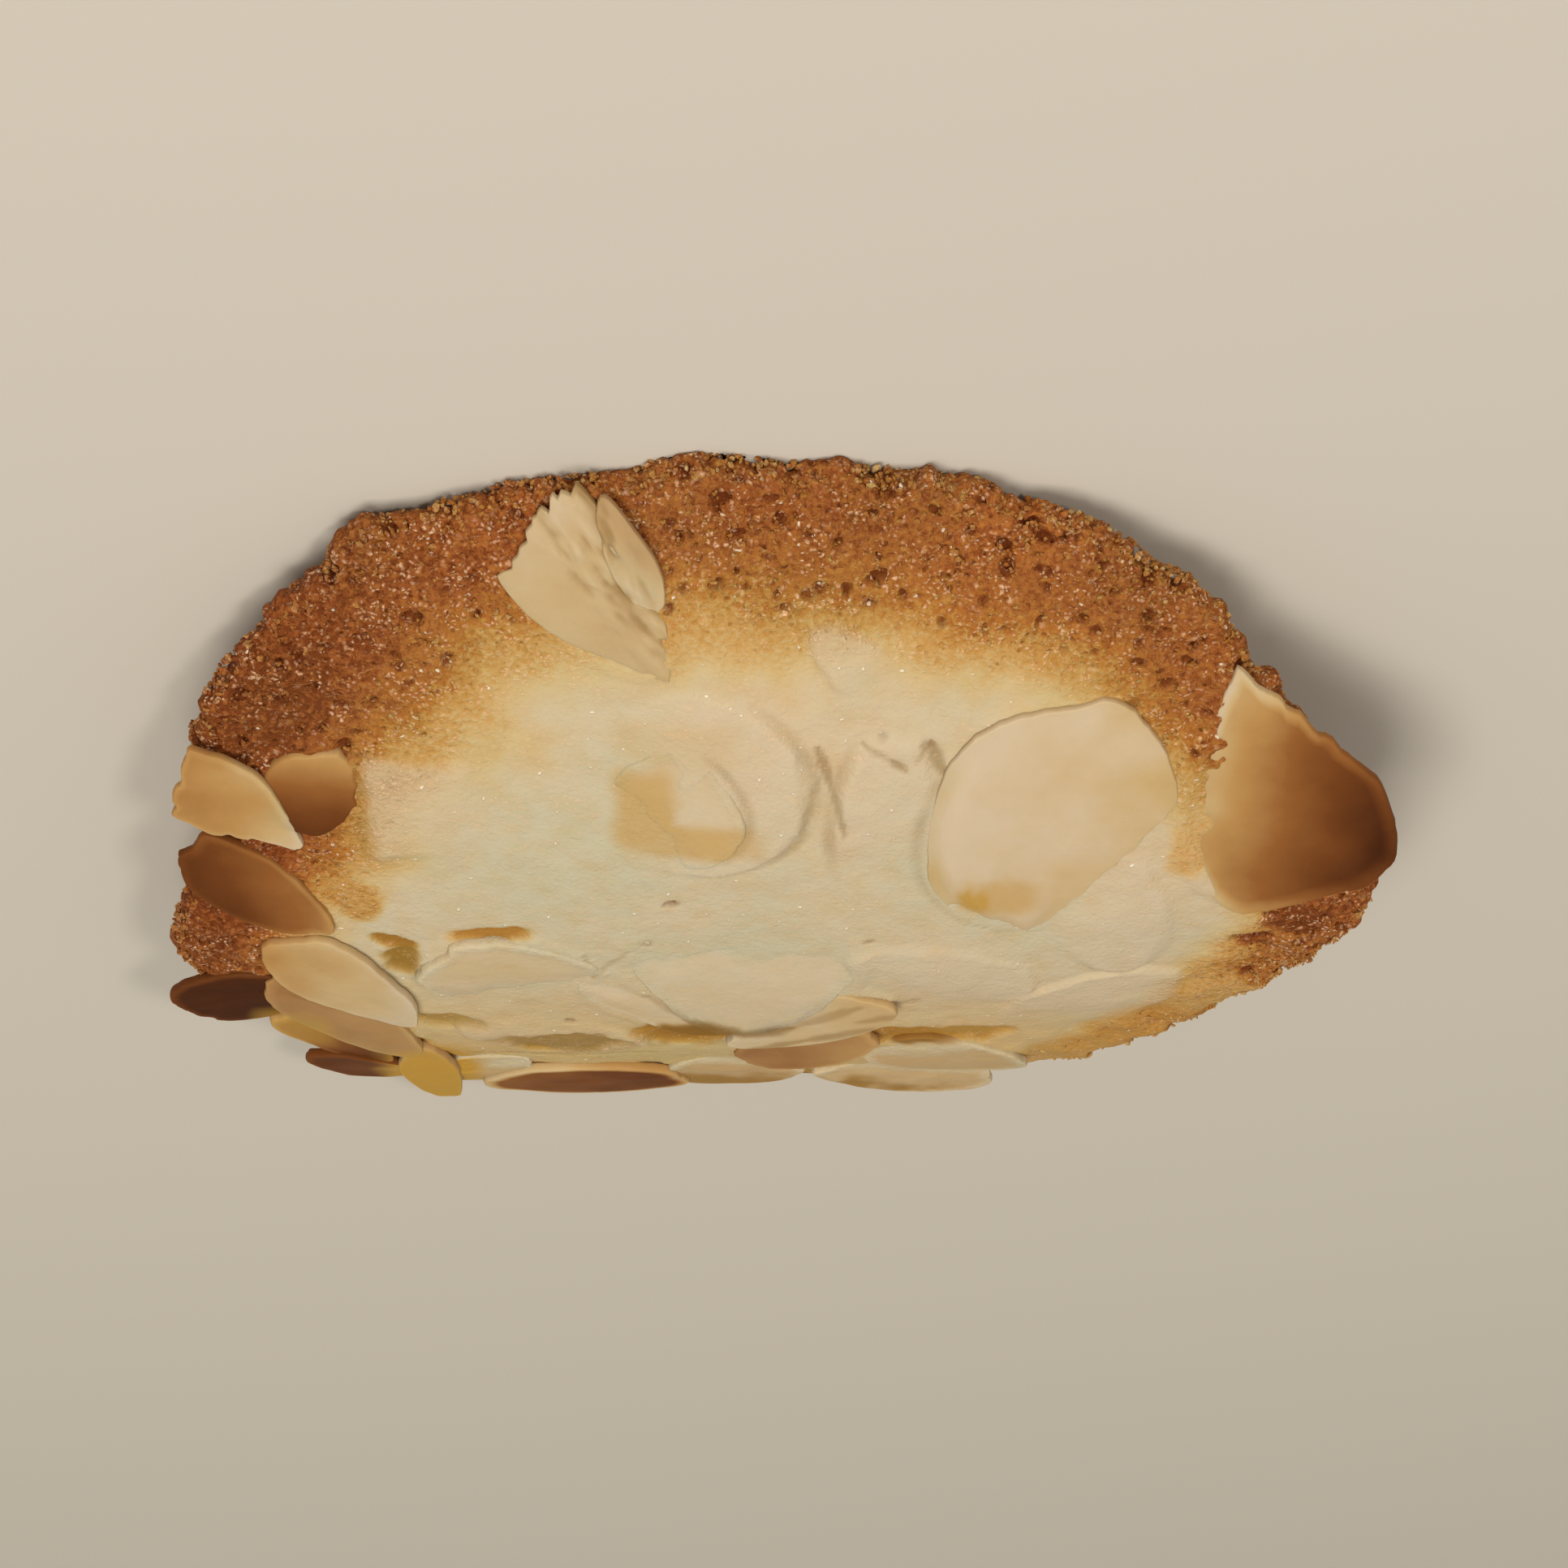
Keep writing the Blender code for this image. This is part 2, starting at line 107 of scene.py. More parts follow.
# Almond slices: place across X and along the bend, length, width, turn of the tip from +X, how pointed
# the tip is, height of the face over the dough, rise along the length and across it. Then toasting: tone
# at the middle from 0 ivory to 1 dark brown, how much darker it is towards +X and along the bend, and
# how much paler its rim is. PLAIN slices stay ivory.
PLAIN = (0.03, 0, 0, 0)
FLAKES = dict(
    torn_top=(-11.9, 28.7, 18, 8.8, -53, 0.3, 0.62, -0.01, 0.02, (0.14, 0.02, -0.05, 0)),
    torn_ridge=(-8.6, 30.6, 9, 3, 114, 0.2, 0.96, 0.01, 0, (0.22, 0.08, 0.24, 0)),
    left_drop=(-37.3, 9.4, 14.6, 7.4, -45, 0.35, 0.92, -0.03, 0.06, (0.31, -0.11, 0.07, 0.06)),
    left_small=(-30.8, 10.4, 8.5, 7, 65, 0.3, 0.42, 0, 0, (0.53, -0.05, -0.32, 0)),
    left_square=(-23.4, 8.6, 13.5, 11, 88, 0, 0.3, -0.01, 0.01, PLAIN),
    left_brown=(-35.8, 0, 14, 6.8, -48, 0.3, 0.66, 0.02, -0.02, (0.64, -0.16, -0.1, 0.08)),
    corner_dark=(-38.3, -16.2, 10.8, 8.2, 24, 0.2, 0.75, 0, 0.03, (0.95, 0, 0, 0.16)),
    low_left=(-30.4, -12.4, 16, 7.2, -54, 0.35, 0.86, 0.01, 0.02, (0.17, -0.09, 0.05, 0.04)),
    low_left_under=(-30.8, -19.9, 18, 7, -59, 0.3, 0.64, 0, 0.02, (0.37, -0.04, 0, 0.06)),
    corner_orange=(-32, -24.4, 13, 6, -54, 0.4, 0.4, 0, 0.03, (0.62, 0.14, -0.06, 0.12)),
    corner_brown=(-30.6, -31.2, 9.3, 5.3, -34, 0.3, 0.95, 0, 0.02, (0.78, 0, 0, 0.1)),
    corner_yellow=(-25.4, -32.5, 12, 4.6, -82, 0.5, 1.3, 0.1, 0, (0.3, 0, 0, 0.06)),
    sunk_left=(-18.6, -10.7, 13.5, 10.5, 5, 0.25, 0.42, -0.02, 0.05, (0.1, 0, 0, 0)),
    ring_inner=(-6.2, 9.4, 12.2, 10.6, 80, 0.35, 0.28, 0, -0.055, PLAIN),
    ring_outer=(-4.2, 11.4, 17.5, 15.5, 95, 0.1, 0.26, 0, -0.025, PLAIN),
    between=(8.9, 8.7, 18.5, 7.6, 88, 0.1, 0.3, 0.005, 0.03, PLAIN),
    big_round=(20, 8.2, 24, 16.8, 76, 0.15, 0.5, -0.01, 0.042, (0.05, 0.07, 0, 0)),
    big_under=(25.2, -2, 16, 9, 100, 0.2, 0.3, 0, -0.01, PLAIN),
    right_brown=(35.8, 10.7, 25, 14.7, 103, 0.85, 0.78, -0.02, -0.09, (0.48, 0.4, -0.06, 0.17)),
    top_small=(6.4, 22.4, 8.6, 4.8, 137, 0.3, 0.38, 0.02, 0, PLAIN),
    mid_low=(-1.2, -9.6, 20, 17, -88, 0.3, 0.36, 0.038, 0, PLAIN),
    mid_under=(-7.4, -15, 14.5, 7.2, -44, 0.2, 0.3, 0.01, -0.02, PLAIN),
    mid_right=(13, -10, 15, 9.5, 160, 0.2, 0.26, 0, 0, PLAIN),
    low_right=(24.5, -15.5, 16, 10, 40, 0.2, 0.28, 0, 0.02, PLAIN),
    leaf_upper=(3.4, -17.6, 14, 6.6, -148, 0.35, 0.78, 0, 0.11, (0.12, 0.05, 0, 0.02)),
    leaf_peach=(3.8, -24, 12.5, 6.2, 30, 0.1, 0.66, 0, -0.08, (0.42, -0.06, 0, 0.06)),
    leaf_right=(14.2, -27.4, 13, 8, -14, 0.2, 0.5, 0, 0.03, (0.13, 0, 0, 0)),
    leaf_left=(-15.6, -22.4, 15, 8.6, -12, 0.2, 0.36, 0, 0.03, PLAIN),
    end_mid=(-1.8, -31.8, 11.5, 7.2, 14, 0.25, 0.8, 0, -0.05, (0.22, 0, 0, 0.06)),
    end_left=(-13.2, -34, 16, 7.8, 4, 0.3, 1, 0, -0.05, (0.66, 0.05, 0, 0.46)),
    end_pale=(-21.4, -32.2, 9, 5.8, 30, 0.3, 0.85, 0, 0.03, (0.18, 0, 0, 0.04)),
    end_right=(11.5, -33.2, 14, 7.6, 172, 0.35, 0.95, 0, 0.11, (0.12, 0, 0, 0.02)),
)

# Straight jagged breaks: direction out from the middle of the slice, counted from its tip, and distance
BREAKS = dict(
    torn_top=((77, 4.4), (-159, 4.8), (180, 5.8)),
    left_drop=((-61, 3.3), (-148, 3), (0, 6.8)),
    left_small=((-65, 3),),
    left_square=((92, 4), (0, 5.2), (-88, 4.2), (-168, 5)),
    left_brown=((180, 6.2),),
    corner_dark=((-150, 5),),
    low_left=((160, 6.8),),
    corner_yellow=((0, 5.2),),
    sunk_left=((140, 5.4),),
    between=((4, 7.8), (178, 7.9)),
    big_round=((-110, 6.3),),
    right_brown=((-55, 5.9), (-164, 10.6)),
    leaf_peach=((0, 5.6),),
    end_mid=((0, 5),),
)

# Round the rim every 30 degrees from +X: browning of the crust's edge, and width of the browned band
EDGE_TONES = (0.92, 0.8, 0.77, 0.78, 0.8, 0.98, 1, 0.9, 0.52, 0.32, 0.26, 0.44)
BAND_WIDTHS = (11, 13, 17, 17.5, 18.5, 21.5, 15, 10, 7, 6.5, 8.5, 8.5)
GOLD_TONE = 0.38

# Slices that the dough has closed over: they show as a low swelling with a paler colour, clearest
# towards this direction in degrees from +X and fading away on the other side
SUNK = dict(left_square=150, ring_outer=5, big_under=-20, top_small=140, mid_right=60, low_right=80,
            leaf_left=-90, between=80)

# Slices that lie half in the dough: the same for their plates, which dip under a film of dough
HALF_SUNK = dict(ring_inner=25, mid_low=-90, mid_under=-110, sunk_left=100, leaf_right=-75,
                 end_right=-100, end_mid=-95, end_pale=-80)

# Slices that the dough has drawn back from, with the side on which a gap shows, painted with shade
GAPS = dict(big_round=205, ring_inner=5, ring_outer=-5, between=175, left_square=185)

# Slices with a sloping rim, and the side on which it is broadest
BEVELLED = dict(big_round=200)

# Yellow translucent stains: place, half size across X and along the bend, strength
STAINS = (
    (-4.6, 6.6, 5, 1.9, 0.56), (-8, 9.2, 2.3, 4.3, 0.62), (17, 0.8, 2.7, 2.2, 0.6),
    (15.2, 0.4, 1.3, 1.4, 0.9), (-5.6, 15.6, 4.6, 2.2, 0.22), (-25.4, -33, 4, 7, 1),
    (-35, -22, 3, 3.6, 0.5),
)

# Slices torn across the grain: depth of their ridges
TORN = dict(torn_top=0.3, torn_ridge=0.3)

# Patches where the dough's colour departs from the browned band: place, half size across X and along
# the bend, turn, browning and painted olive shade. Those with an olive shade are smooth hollows, and there
# the browning is partly the dough's own and partly painted shade.
PATCHES = (
    (-19.4, -5.2, 3.2, 0.9, 8, 0.48, 0.4), (-26, -9.4, 1.5, 1.9, 0, 0.34, 0.9),
    (-26.4, -6.8, 1.6, 0.8, -25, 0.5, 0.7), (-23.6, -20, 2.6, 1.5, 0, 0.2, 0.7),
    (-5.2, -21.4, 3.7, 3.4, 0, 0.56, 0.65), (-14.8, -24.2, 5, 2.4, 0, 0.4, 0.9),
    (12.6, -22.2, 4.8, 1.9, 0, 0.46, 0.5), (15.6, -21.6, 3.4, 1.4, 0, 0.3, 0.6),
    (-30.5, -27.5, 5, 8, 35, 0.56, 0.2), (-33.5, 8, 2.2, 4.5, 0, 0.95, 0),
    (38.6, -3.4, 2.8, 2.4, 10, 0.98, 0), (-29, -1.2, 2.8, 2, -40, 0.33, 0),
    (30.2, 5.8, 1.8, 3.8, 0, 0.2, 0), (33, -14.5, 4.5, 4, 0, 0.28, 0), (36, -6.2, 1.6, 0.9, 20, 0.86, 0),
    (-3, -36, 16, 4, 0, 0.36, 0.5),
)

# Cracks in the dough: both ends across X and along the bend, half width, and how dark the painted shade in
# them is
CRACKS = (
    (3.9, 15.4, 4.9, 12, 0.55, 0.6), (4.9, 12, 5.9, 7.4, 0.4, 0.55), (4, 12.6, 2.9, 7.2, 0.5, 0.45),
    (6.9, 15.9, 8.9, 14.6, 0.34, 0.38), (8.9, 14.6, 10, 13.7, 0.5, 0.62),
    (10.6, 14.4, 11.5, 15.6, 0.34, 0.42), (11.6, 16, 12.5, 13.2, 0.62, 0.62),
    (-6, 13.8, -6.4, 10.2, 0.32, 0.75), (-9.4, 12.5, -6.2, 13.8, 0.24, 0.45),
    (-12.7, -7.7, -12.1, -10.8, 0.35, 0.5), (-12.1, -10.6, -9.6, -6.9, 0.3, 0.35),
)

# Shaded gaps between the layers at the far end, the same way, on the slices as well
LAYER_GAPS = (
    (-8.4, -13.4, -5, -17.4, 0.7, 0.45), (-5.2, -17.2, -1.2, -19.4, 1.3, 0.85),
    (-1.4, -19.4, 2.4, -18, 1.2, 0.8), (2.2, -18, 7.4, -14.2, 0.7, 0.45),
    (7.4, -16.4, 11.6, -14.4, 0.7, 0.4), (-1.4, -22.6, 3.4, -20, 0.7, 0.6),
    (3.4, -20, 8.4, -17.4, 0.8, 0.55), (-34.6, -14.8, -26.9, -20.2, 0.5, 0.4),
    (-22, -28.4, -8, -26.8, 0.5, 0.35),
)

# Holes deeper than the crust's own pores: place across X and along the bend, half size and depth
PITS = (
    (-6.3, -0.8, 0.5, 0.4, 0.7), (35.2, -6, 1.4, 0.75, 1), (8.3, 16.5, 0.5, 0.4, 0.14),
    (11.5, 15.7, 0.7, 0.4, 0.16), (-8.2, -5.9, 0.28, 0.35, 0.6), (1.5, -12.8, 0.25, 0.4, 0.5),
    (7.8, -5, 0.25, 0.3, 0.4), (-23.2, 25.3, 0.8, 0.6, 0.8), (17.6, 32.9, 0.9, 0.8, 0.8),
    (-14.2, -19.2, 0.4, 0.4, 0.6), (-6, 26.6, 0.4, 0.45, 0.6), (4, 36, 0.6, 0.55, 0.7),
    (8.5, 35, 0.55, 0.6, 0.7), (-31, 22, 0.6, 0.7, 0.7), (22.5, 31, 0.55, 0.6, 0.7),
    (27.4, 20.5, 0.7, 0.5, 0.6),
)


def ripple(x, y, seed):
    """Height from -1 to 1: hashed values on the whole-number lattice joined by smooth steps."""
    xi, yi = np.floor(x), np.floor(y)
    fx, fy = x - xi, y - yi
    fx, fy = fx * fx * (3 - 2 * fx), fy * fy * (3 - 2 * fy)

    def lattice(i, j):
        value = np.sin(i * 127.1 + j * 311.7 + seed * 74.7) * 43758.5453
        return 2 * (value - np.floor(value)) - 1

    near = lattice(xi, yi) * (1 - fx) + lattice(xi + 1, yi) * fx
    far = lattice(xi, yi + 1) * (1 - fx) + lattice(xi + 1, yi + 1) * fx
    return near * (1 - fy) + far * fy


def relief(u, v, *layers):
    """Sum of smooth noises, each given by its height, the size of its squares and its seed."""
    return sum(height * ripple(u / size, v / size, seed) for height, size, seed in layers)


def solid_noise(points, size, seed):
    """Height from -1 to 1 in space: the lattice noise of a layer below and one above, blended by depth."""
    x, y, z = (points / size).T
    zi = np.floor(z)
    fz = z - zi
    fz = fz * fz * (3 - 2 * fz)
    low = ripple(x + 37.3 * zi, y + 19.1 * zi, seed)
    high = ripple(x + 37.3 * (zi + 1), y + 19.1 * (zi + 1), seed)
    return low * (1 - fz) + high * fz


def ease(low, high, value):
    """Smooth step: 0 below the low limit, 1 above the high one, and an even S between them."""
    part = np.clip((value - low) / (high - low), 0, 1)
    return part * part * (3 - 2 * part)


def rim_radius(angle):
    """Rim radius at an angle: the 24 radii joined by their Fourier series, plus crags."""
    radii = np.array(RIM_RADII)
    count = len(radii)
    waves = np.fft.rfft(radii) / count
    total = np.full(np.shape(angle), waves[0].real)
    for order in range(1, count // 2):
        total = total + 2 * (waves[order] * np.exp(1j * order * np.asarray(angle))).real
    x, y = 9 * np.cos(angle), 9 * np.sin(angle)
    crags = 0.65 * ripple(x, y, 3) + 0.45 * ripple(2.3 * x, 2.3 * y, 5)
    return total + crags


def dough_top(u, v):
    """Height of the dough's outer face over the plain bend, as the solid has it: thinner towards the
    rim, gently uneven, and craggy in the browned outer band."""
    reach = np.hypot(u, v) / rim_radius(np.arctan2(v, u))
    height = THICK_CENTRE + (THICK_RIM - THICK_CENTRE) * np.clip(reach, 0, 1) ** 3
    height = height + 0.22 * ripple(u / 11 + 4.2, v / 11 + 1.7, 7)
    return height + ease(0.72, 0.92, reach) * relief(u, v, (0.3, 3.6, 11), (0.2, 2.1, 13))


def dough_under(u, v):
    """Height of the underside over the plain bend, as the solid has it."""
    return 0.16 * ripple(u / 8 + 2.6, v / 8 + 9.1, 17)


def bend(u, v, height):
    """Wraps flat places round the arch and sets them on the seat: X stays, and the length along the
    bend becomes an angle about an axis below the biscuit."""
    sway = 0.55 * np.sin(u / 19 + 0.6) * np.cos(v / 26 - 0.4)
    reach = ARCH_RADIUS + height + sway
    turn = (v + LEAN) / ARCH_RADIUS
    return np.stack([u + CENTRE_SHIFT[0], reach * np.sin(turn) + CENTRE_SHIFT[1],
                     reach * np.cos(turn) - SEAT_LEVEL], axis=-1)


def on_floor(points):
    """Points with those below the floor lifted up to it."""
    points[:, 2] = np.maximum(points[:, 2], 0)
    return points


def turned(x, y, angle):
    """Place of a point in axes turned by an angle in degrees."""
    a, b = cos(radians(angle)), sin(radians(angle))
    return x * a + y * b, y * a - x * b


def patch_masks(u, v):
    """For each patch how much it counts at a point, 1 inside an oval with a ragged edge and 0 outside,
    and the patch's browning and painted olive shade."""
    ragged = relief(u, v, (0.22, 1.9, 81), (0.12, 0.8, 83))
    for u0, v0, half_u, half_v, turn, tone, hollow_shade in PATCHES:
        x, y = turned(u - u0, v - v0, turn)
        yield 1 - ease(0.65, 1.2, np.hypot(x / half_u, y / half_v) + ragged), tone, hollow_shade


def shaded_crevices(lines, u, v):
    """How deep in a crack a point is: 1 on the line between its two ends, 0 a wavering half width away
    from it, thinner towards the ends, times how dark its painted shade is."""
    waver = relief(u, v, (0.25, 1.5, 95), (0.12, 0.6, 99))
    deepest = np.zeros_like(u)
    for u0, v0, u1, v1, width, dark in lines:
        span = np.array([u1 - u0, v1 - v0])
        along = np.clip(((u - u0) * span[0] + (v - v0) * span[1]) / (span @ span), 0, 1)
        away = np.hypot(u - u0 - along * span[0], v - v0 - along * span[1])
        thin = 0.55 + 0.45 * np.sin(pi * along)
        deepest = np.maximum(deepest, dark * (1 - ease(0.15, 1.1, away / (width * thin) + waver)))
    return deepest


def round_rim(table, angle):
    """Value of a table of 12 directions at an angle, joined by straight steps round the rim."""
    return np.interp(angle, np.arange(12) * pi / 6, table, period=2 * pi)


def crustiness(angle):
    """How rough and grainy the rim is: 1 where its crust is brown, 0.2 where it stayed pale."""
    return 0.2 + 0.8 * ease(0.25, 0.65, round_rim(EDGE_TONES, angle))


def browning(u, v, patched=1):
    """How brown the dough is, 0 cream to 1 darkest, the painted olive shade of its hollows and where it is
    a smooth hollow. A golden band follows the rim and a brown one lies on its outer part. The way in from
    the rim counts as a share of the band's width. Blotches of 7, 3 and 1.3 mm and the patches come on
    top, the patches only where the last number is 1, and the far end is never paler than straw."""
    angle = np.arctan2(v, u)
    inward = rim_radius(angle) - np.hypot(u, v)
    blotch = relief(u, v, (0.09, 7, 21), (0.06, 3, 23), (0.04, 1.3, 25))
    way = inward / round_rim(BAND_WIDTHS, angle) + 0.9 * blotch
    edge = round_rim(EDGE_TONES, angle)
    brown = np.maximum(edge - GOLD_TONE, 0) * (1 - ease(0.25, 0.65, way))
    gold = np.minimum(edge, GOLD_TONE) * (1 - ease(0.45, 1.08, way))
    tone = brown + gold + 0.35 * blotch * ease(0.05, 0.4, brown + gold)
    tone = np.maximum(tone, FAR_TONE * ease(6, 30, -v))
    # Hollow patches paint shade: all of their olive and part of their browning
    hollow_shade, hollow = np.zeros_like(tone), np.zeros_like(tone)
    for mask, patch_tone, patch_shade in patch_masks(u, v):
        mask = mask * patched
        tone = tone + mask * (patch_tone - tone)
        hollow_shade = np.maximum(hollow_shade, mask * patch_shade)
        hollow = np.maximum(hollow, mask * (patch_shade > 0))
    return np.clip(tone, 0, 1), hollow_shade, hollow


def stained(u, v, cast):
    """How strong the yellow stain is: a cast of the given strength over the far end, and rounded boxes
    with a wavering edge."""
    mask = cast * ease(11, 24, -v)
    waver = relief(u, v, (0.12, 1.3, 73))
    for u0, v0, half_u, half_v, strength in STAINS:
        reach = (((u - u0) / half_u) ** 4 + ((v - v0) / half_v) ** 4) ** 0.25 + waver
        mask = np.maximum(mask, strength * (1 - ease(0.62, 1.25, reach)))
    return mask


def drop_scale(tip):
    """Greatest value of sin(t) * sin(t / 2) ** tip, by which the drop's width is divided."""
    return 2 * (1 + tip) ** 0.5 / (2 + tip) * ((1 + tip) / (2 + tip)) ** (tip / 2)


def flake_inside(name, u, v):
    """How far inside a slice's outline a point is, in mm: the half width of the drop shape at that
    place along it less the way from its middle line, cut off at the slice's breaks."""
    u0, v0, length, width, turn, tip = FLAKES[name][:6]
    x, y = turned(u - u0, v - v0, turn)
    share = np.clip(2 * x / length, -1, 1)
    half_width = 0.5 * width / drop_scale(tip) * np.sqrt(1 - share ** 2) * ((1 - share) / 2) ** (tip / 2)
    inside = half_width - np.abs(y) - np.maximum(np.abs(x) - 0.5 * length, 0)
    for direction, distance in BREAKS.get(name, ()):
        out, _ = turned(x, y, direction)
        inside = np.minimum(inside, distance - out)
    return inside


def covered(name, sides, u, v):
    """How far the dough covers a slice: 0 on the side of the slice that shows, and rising to 1 across
    its middle towards the other side, with a wavering border."""
    if name not in sides:
        return np.zeros_like(u)
    u0, v0, length, width = FLAKES[name][:4]
    way, _ = turned(u - u0, v - v0, sides[name])
    waver = relief(u, v, (0.16, 3.1, 91), (0.05, 0.9, 93))
    return ease(-0.1, 0.8, -way / (0.25 * (length + width)) + waver)


def swellings(u, v):
    """Height that sunk slices add to the dough: their own tilt and rise, fading in over their edge.
    Also returns a mask of where they are."""
    height, mask = np.zeros_like(u), np.zeros_like(u)
    ragged = relief(u, v, (0.22, 1.7, 31))
    soft = 0.9 + 0.75 * ripple(u / 5.5 + 0.5, v / 5.5, 37)
    for name in SUNK:
        u0, v0, _, _, turn, _, proud, rise, roll = FLAKES[name][:9]
        x, y = turned(u - u0, v - v0, turn)
        inside = flake_inside(name, u, v) + ragged
        shown = ease(-0.1, 1, inside / soft) * (1 - covered(name, SUNK, u, v))
        height = np.maximum(height, shown * (proud + rise * x + roll * y))
        mask = np.maximum(mask, shown)
    return height, mask


def menisci(u, v):
    """The dough creeps up the edges of the slices that lie in it, fading over 1 mm."""
    height = np.zeros_like(u)
    for name in FLAKES:
        if name in SUNK or name in GAPS or FLAKES[name][6] > CLEAR_FACE:
            continue
        edge = ease(-1.3, -0.2, -np.abs(flake_inside(name, u, v))) * (1 - covered(name, HALF_SUNK, u, v))
        height = np.maximum(height, MENISCUS_RISE * edge)
    return height


def gaps(u, v):
    """Where the dough has drawn back from a slice: an uneven band 0.8 mm wide outside the slice's edge,
    on the side that the table names, fading out round it. The band marks painted shade as well as depth."""
    deepest = np.zeros_like(u)
    depth = 0.55 + 0.45 * ripple(u / 2.1 + 0.3, v / 2.1, 97)
    for name, side in GAPS.items():
        inside = flake_inside(name, u, v)
        u0, v0 = FLAKES[name][:2]
        facing = np.cos(np.arctan2(v - v0, u - u0) - radians(side))
        band = ease(-1.1, -0.3, inside) * (1 - ease(-0.3, 0.4, inside))
        deepest = np.maximum(deepest, band * depth * ease(0.25, 0.8, facing))
    return deepest


def scattered_pores(u, v, cell, seed, share):
    """Depth mask of small uneven pores: one oval is hashed into each square cell with a given chance,
    and falls away smoothly from its middle to its own edge. The 3 by 3 cells round each point count."""
    u = u + 0.12 * cell * ripple(u / (0.3 * cell), v / (0.3 * cell), seed + 2)
    v = v + 0.12 * cell * ripple(u / (0.3 * cell), v / (0.3 * cell), seed + 4)
    ci, cj = np.floor(u / cell), np.floor(v / cell)
    deepest = np.zeros_like(u)
    for di in (-1, 0, 1):
        for dj in (-1, 0, 1):
            i, j = ci + di, cj + dj
            draws = []
            for salt in range(1, 6):
                value = np.sin(i * 12.9898 + j * 78.233 + salt * 37.719 + seed * 11.13) * 43758.5453
                draws.append(value - np.floor(value))
            x = u - (i + 0.15 + 0.7 * draws[0]) * cell
            y = v - (j + 0.15 + 0.7 * draws[1]) * cell
            radius = cell * (0.14 + 0.14 * draws[2] ** 2)
            stretch = 0.8 + 0.4 * draws[4]
            reach = np.hypot(x * stretch, y / stretch) / radius
            depth = (1 - ease(0.3, 1, reach)) * (draws[3] < share)
            deepest = np.maximum(deepest, depth)
    return deepest


def square_to_disc(cells):
    """A grid of squares stretched onto a unit disc: each square ring becomes a circle and the place
    along its side becomes the angle. Gives reach and angle, row by row."""
    line = np.linspace(-1, 1, cells + 1)
    a, b = np.meshgrid(line, line)
    wide = np.abs(a) > np.abs(b)
    safe_a, safe_b = np.where(a == 0, 1, a), np.where(b == 0, 1, b)
    signed = np.where(wide, a, b)
    angle = np.where(wide, pi / 4 * b / safe_a, pi / 2 - pi / 4 * a / safe_b)
    u, v = signed * np.cos(angle), signed * np.sin(angle)
    return np.hypot(u, v).ravel(), np.arctan2(v, u).ravel()


def grid_quads(cells):
    """Corner numbers of every square of a grid, anticlockwise seen from above."""
    row, column = np.meshgrid(np.arange(cells), np.arange(cells), indexing="ij")
    first = (row * (cells + 1) + column).ravel()
    return np.stack([first, first + 1, first + cells + 2, first + cells + 1], axis=1)


def grid_edge(cells):
    """Numbers of the points round a grid's edge, anticlockwise from the corner that comes first."""
    step = np.arange(cells)
    side = cells + 1
    return np.concatenate([step, cells + step * side, cells * side + cells - step, (cells - step) * side])


def put_in_scene(name, data):
    """A new object with this data, linked to the scene."""
    thing = bpy.data.objects.new(name, data)
    bpy.context.scene.collection.objects.link(thing)
    return thing


def add_mesh(name, points, faces, fields):
    """Puts points in mm and faces into a mesh, with a number on every point for each named field."""
    mesh = bpy.data.meshes.new(name)
    mesh.from_pydata((points * MM).tolist(), [], faces)
    for field_name, values in fields.items():
        layer = mesh.attributes.new(field_name, "FLOAT", "POINT")
        layer.data.foreach_set("value", np.asarray(values, dtype=np.float32))
    mesh.shade_smooth()
    piece = put_in_scene(name, mesh)
    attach(piece, "root")
    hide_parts("tuile")
    return piece


def skin_directions(v, angle, out):
    """Unit directions square to the dough's skin: out is the skin's own slope, from pi/2 on the outer
    face through 0 at the rim to -pi/2 underneath."""
    turn = (v + LEAN) / ARCH_RADIUS
    flat, up = np.cos(out), np.sin(out)
    east, north = flat * np.cos(angle), flat * np.sin(angle)
    return np.stack([east, north * np.cos(turn) + up * np.sin(turn),
                     up * np.cos(turn) - north * np.sin(turn)], axis=-1)


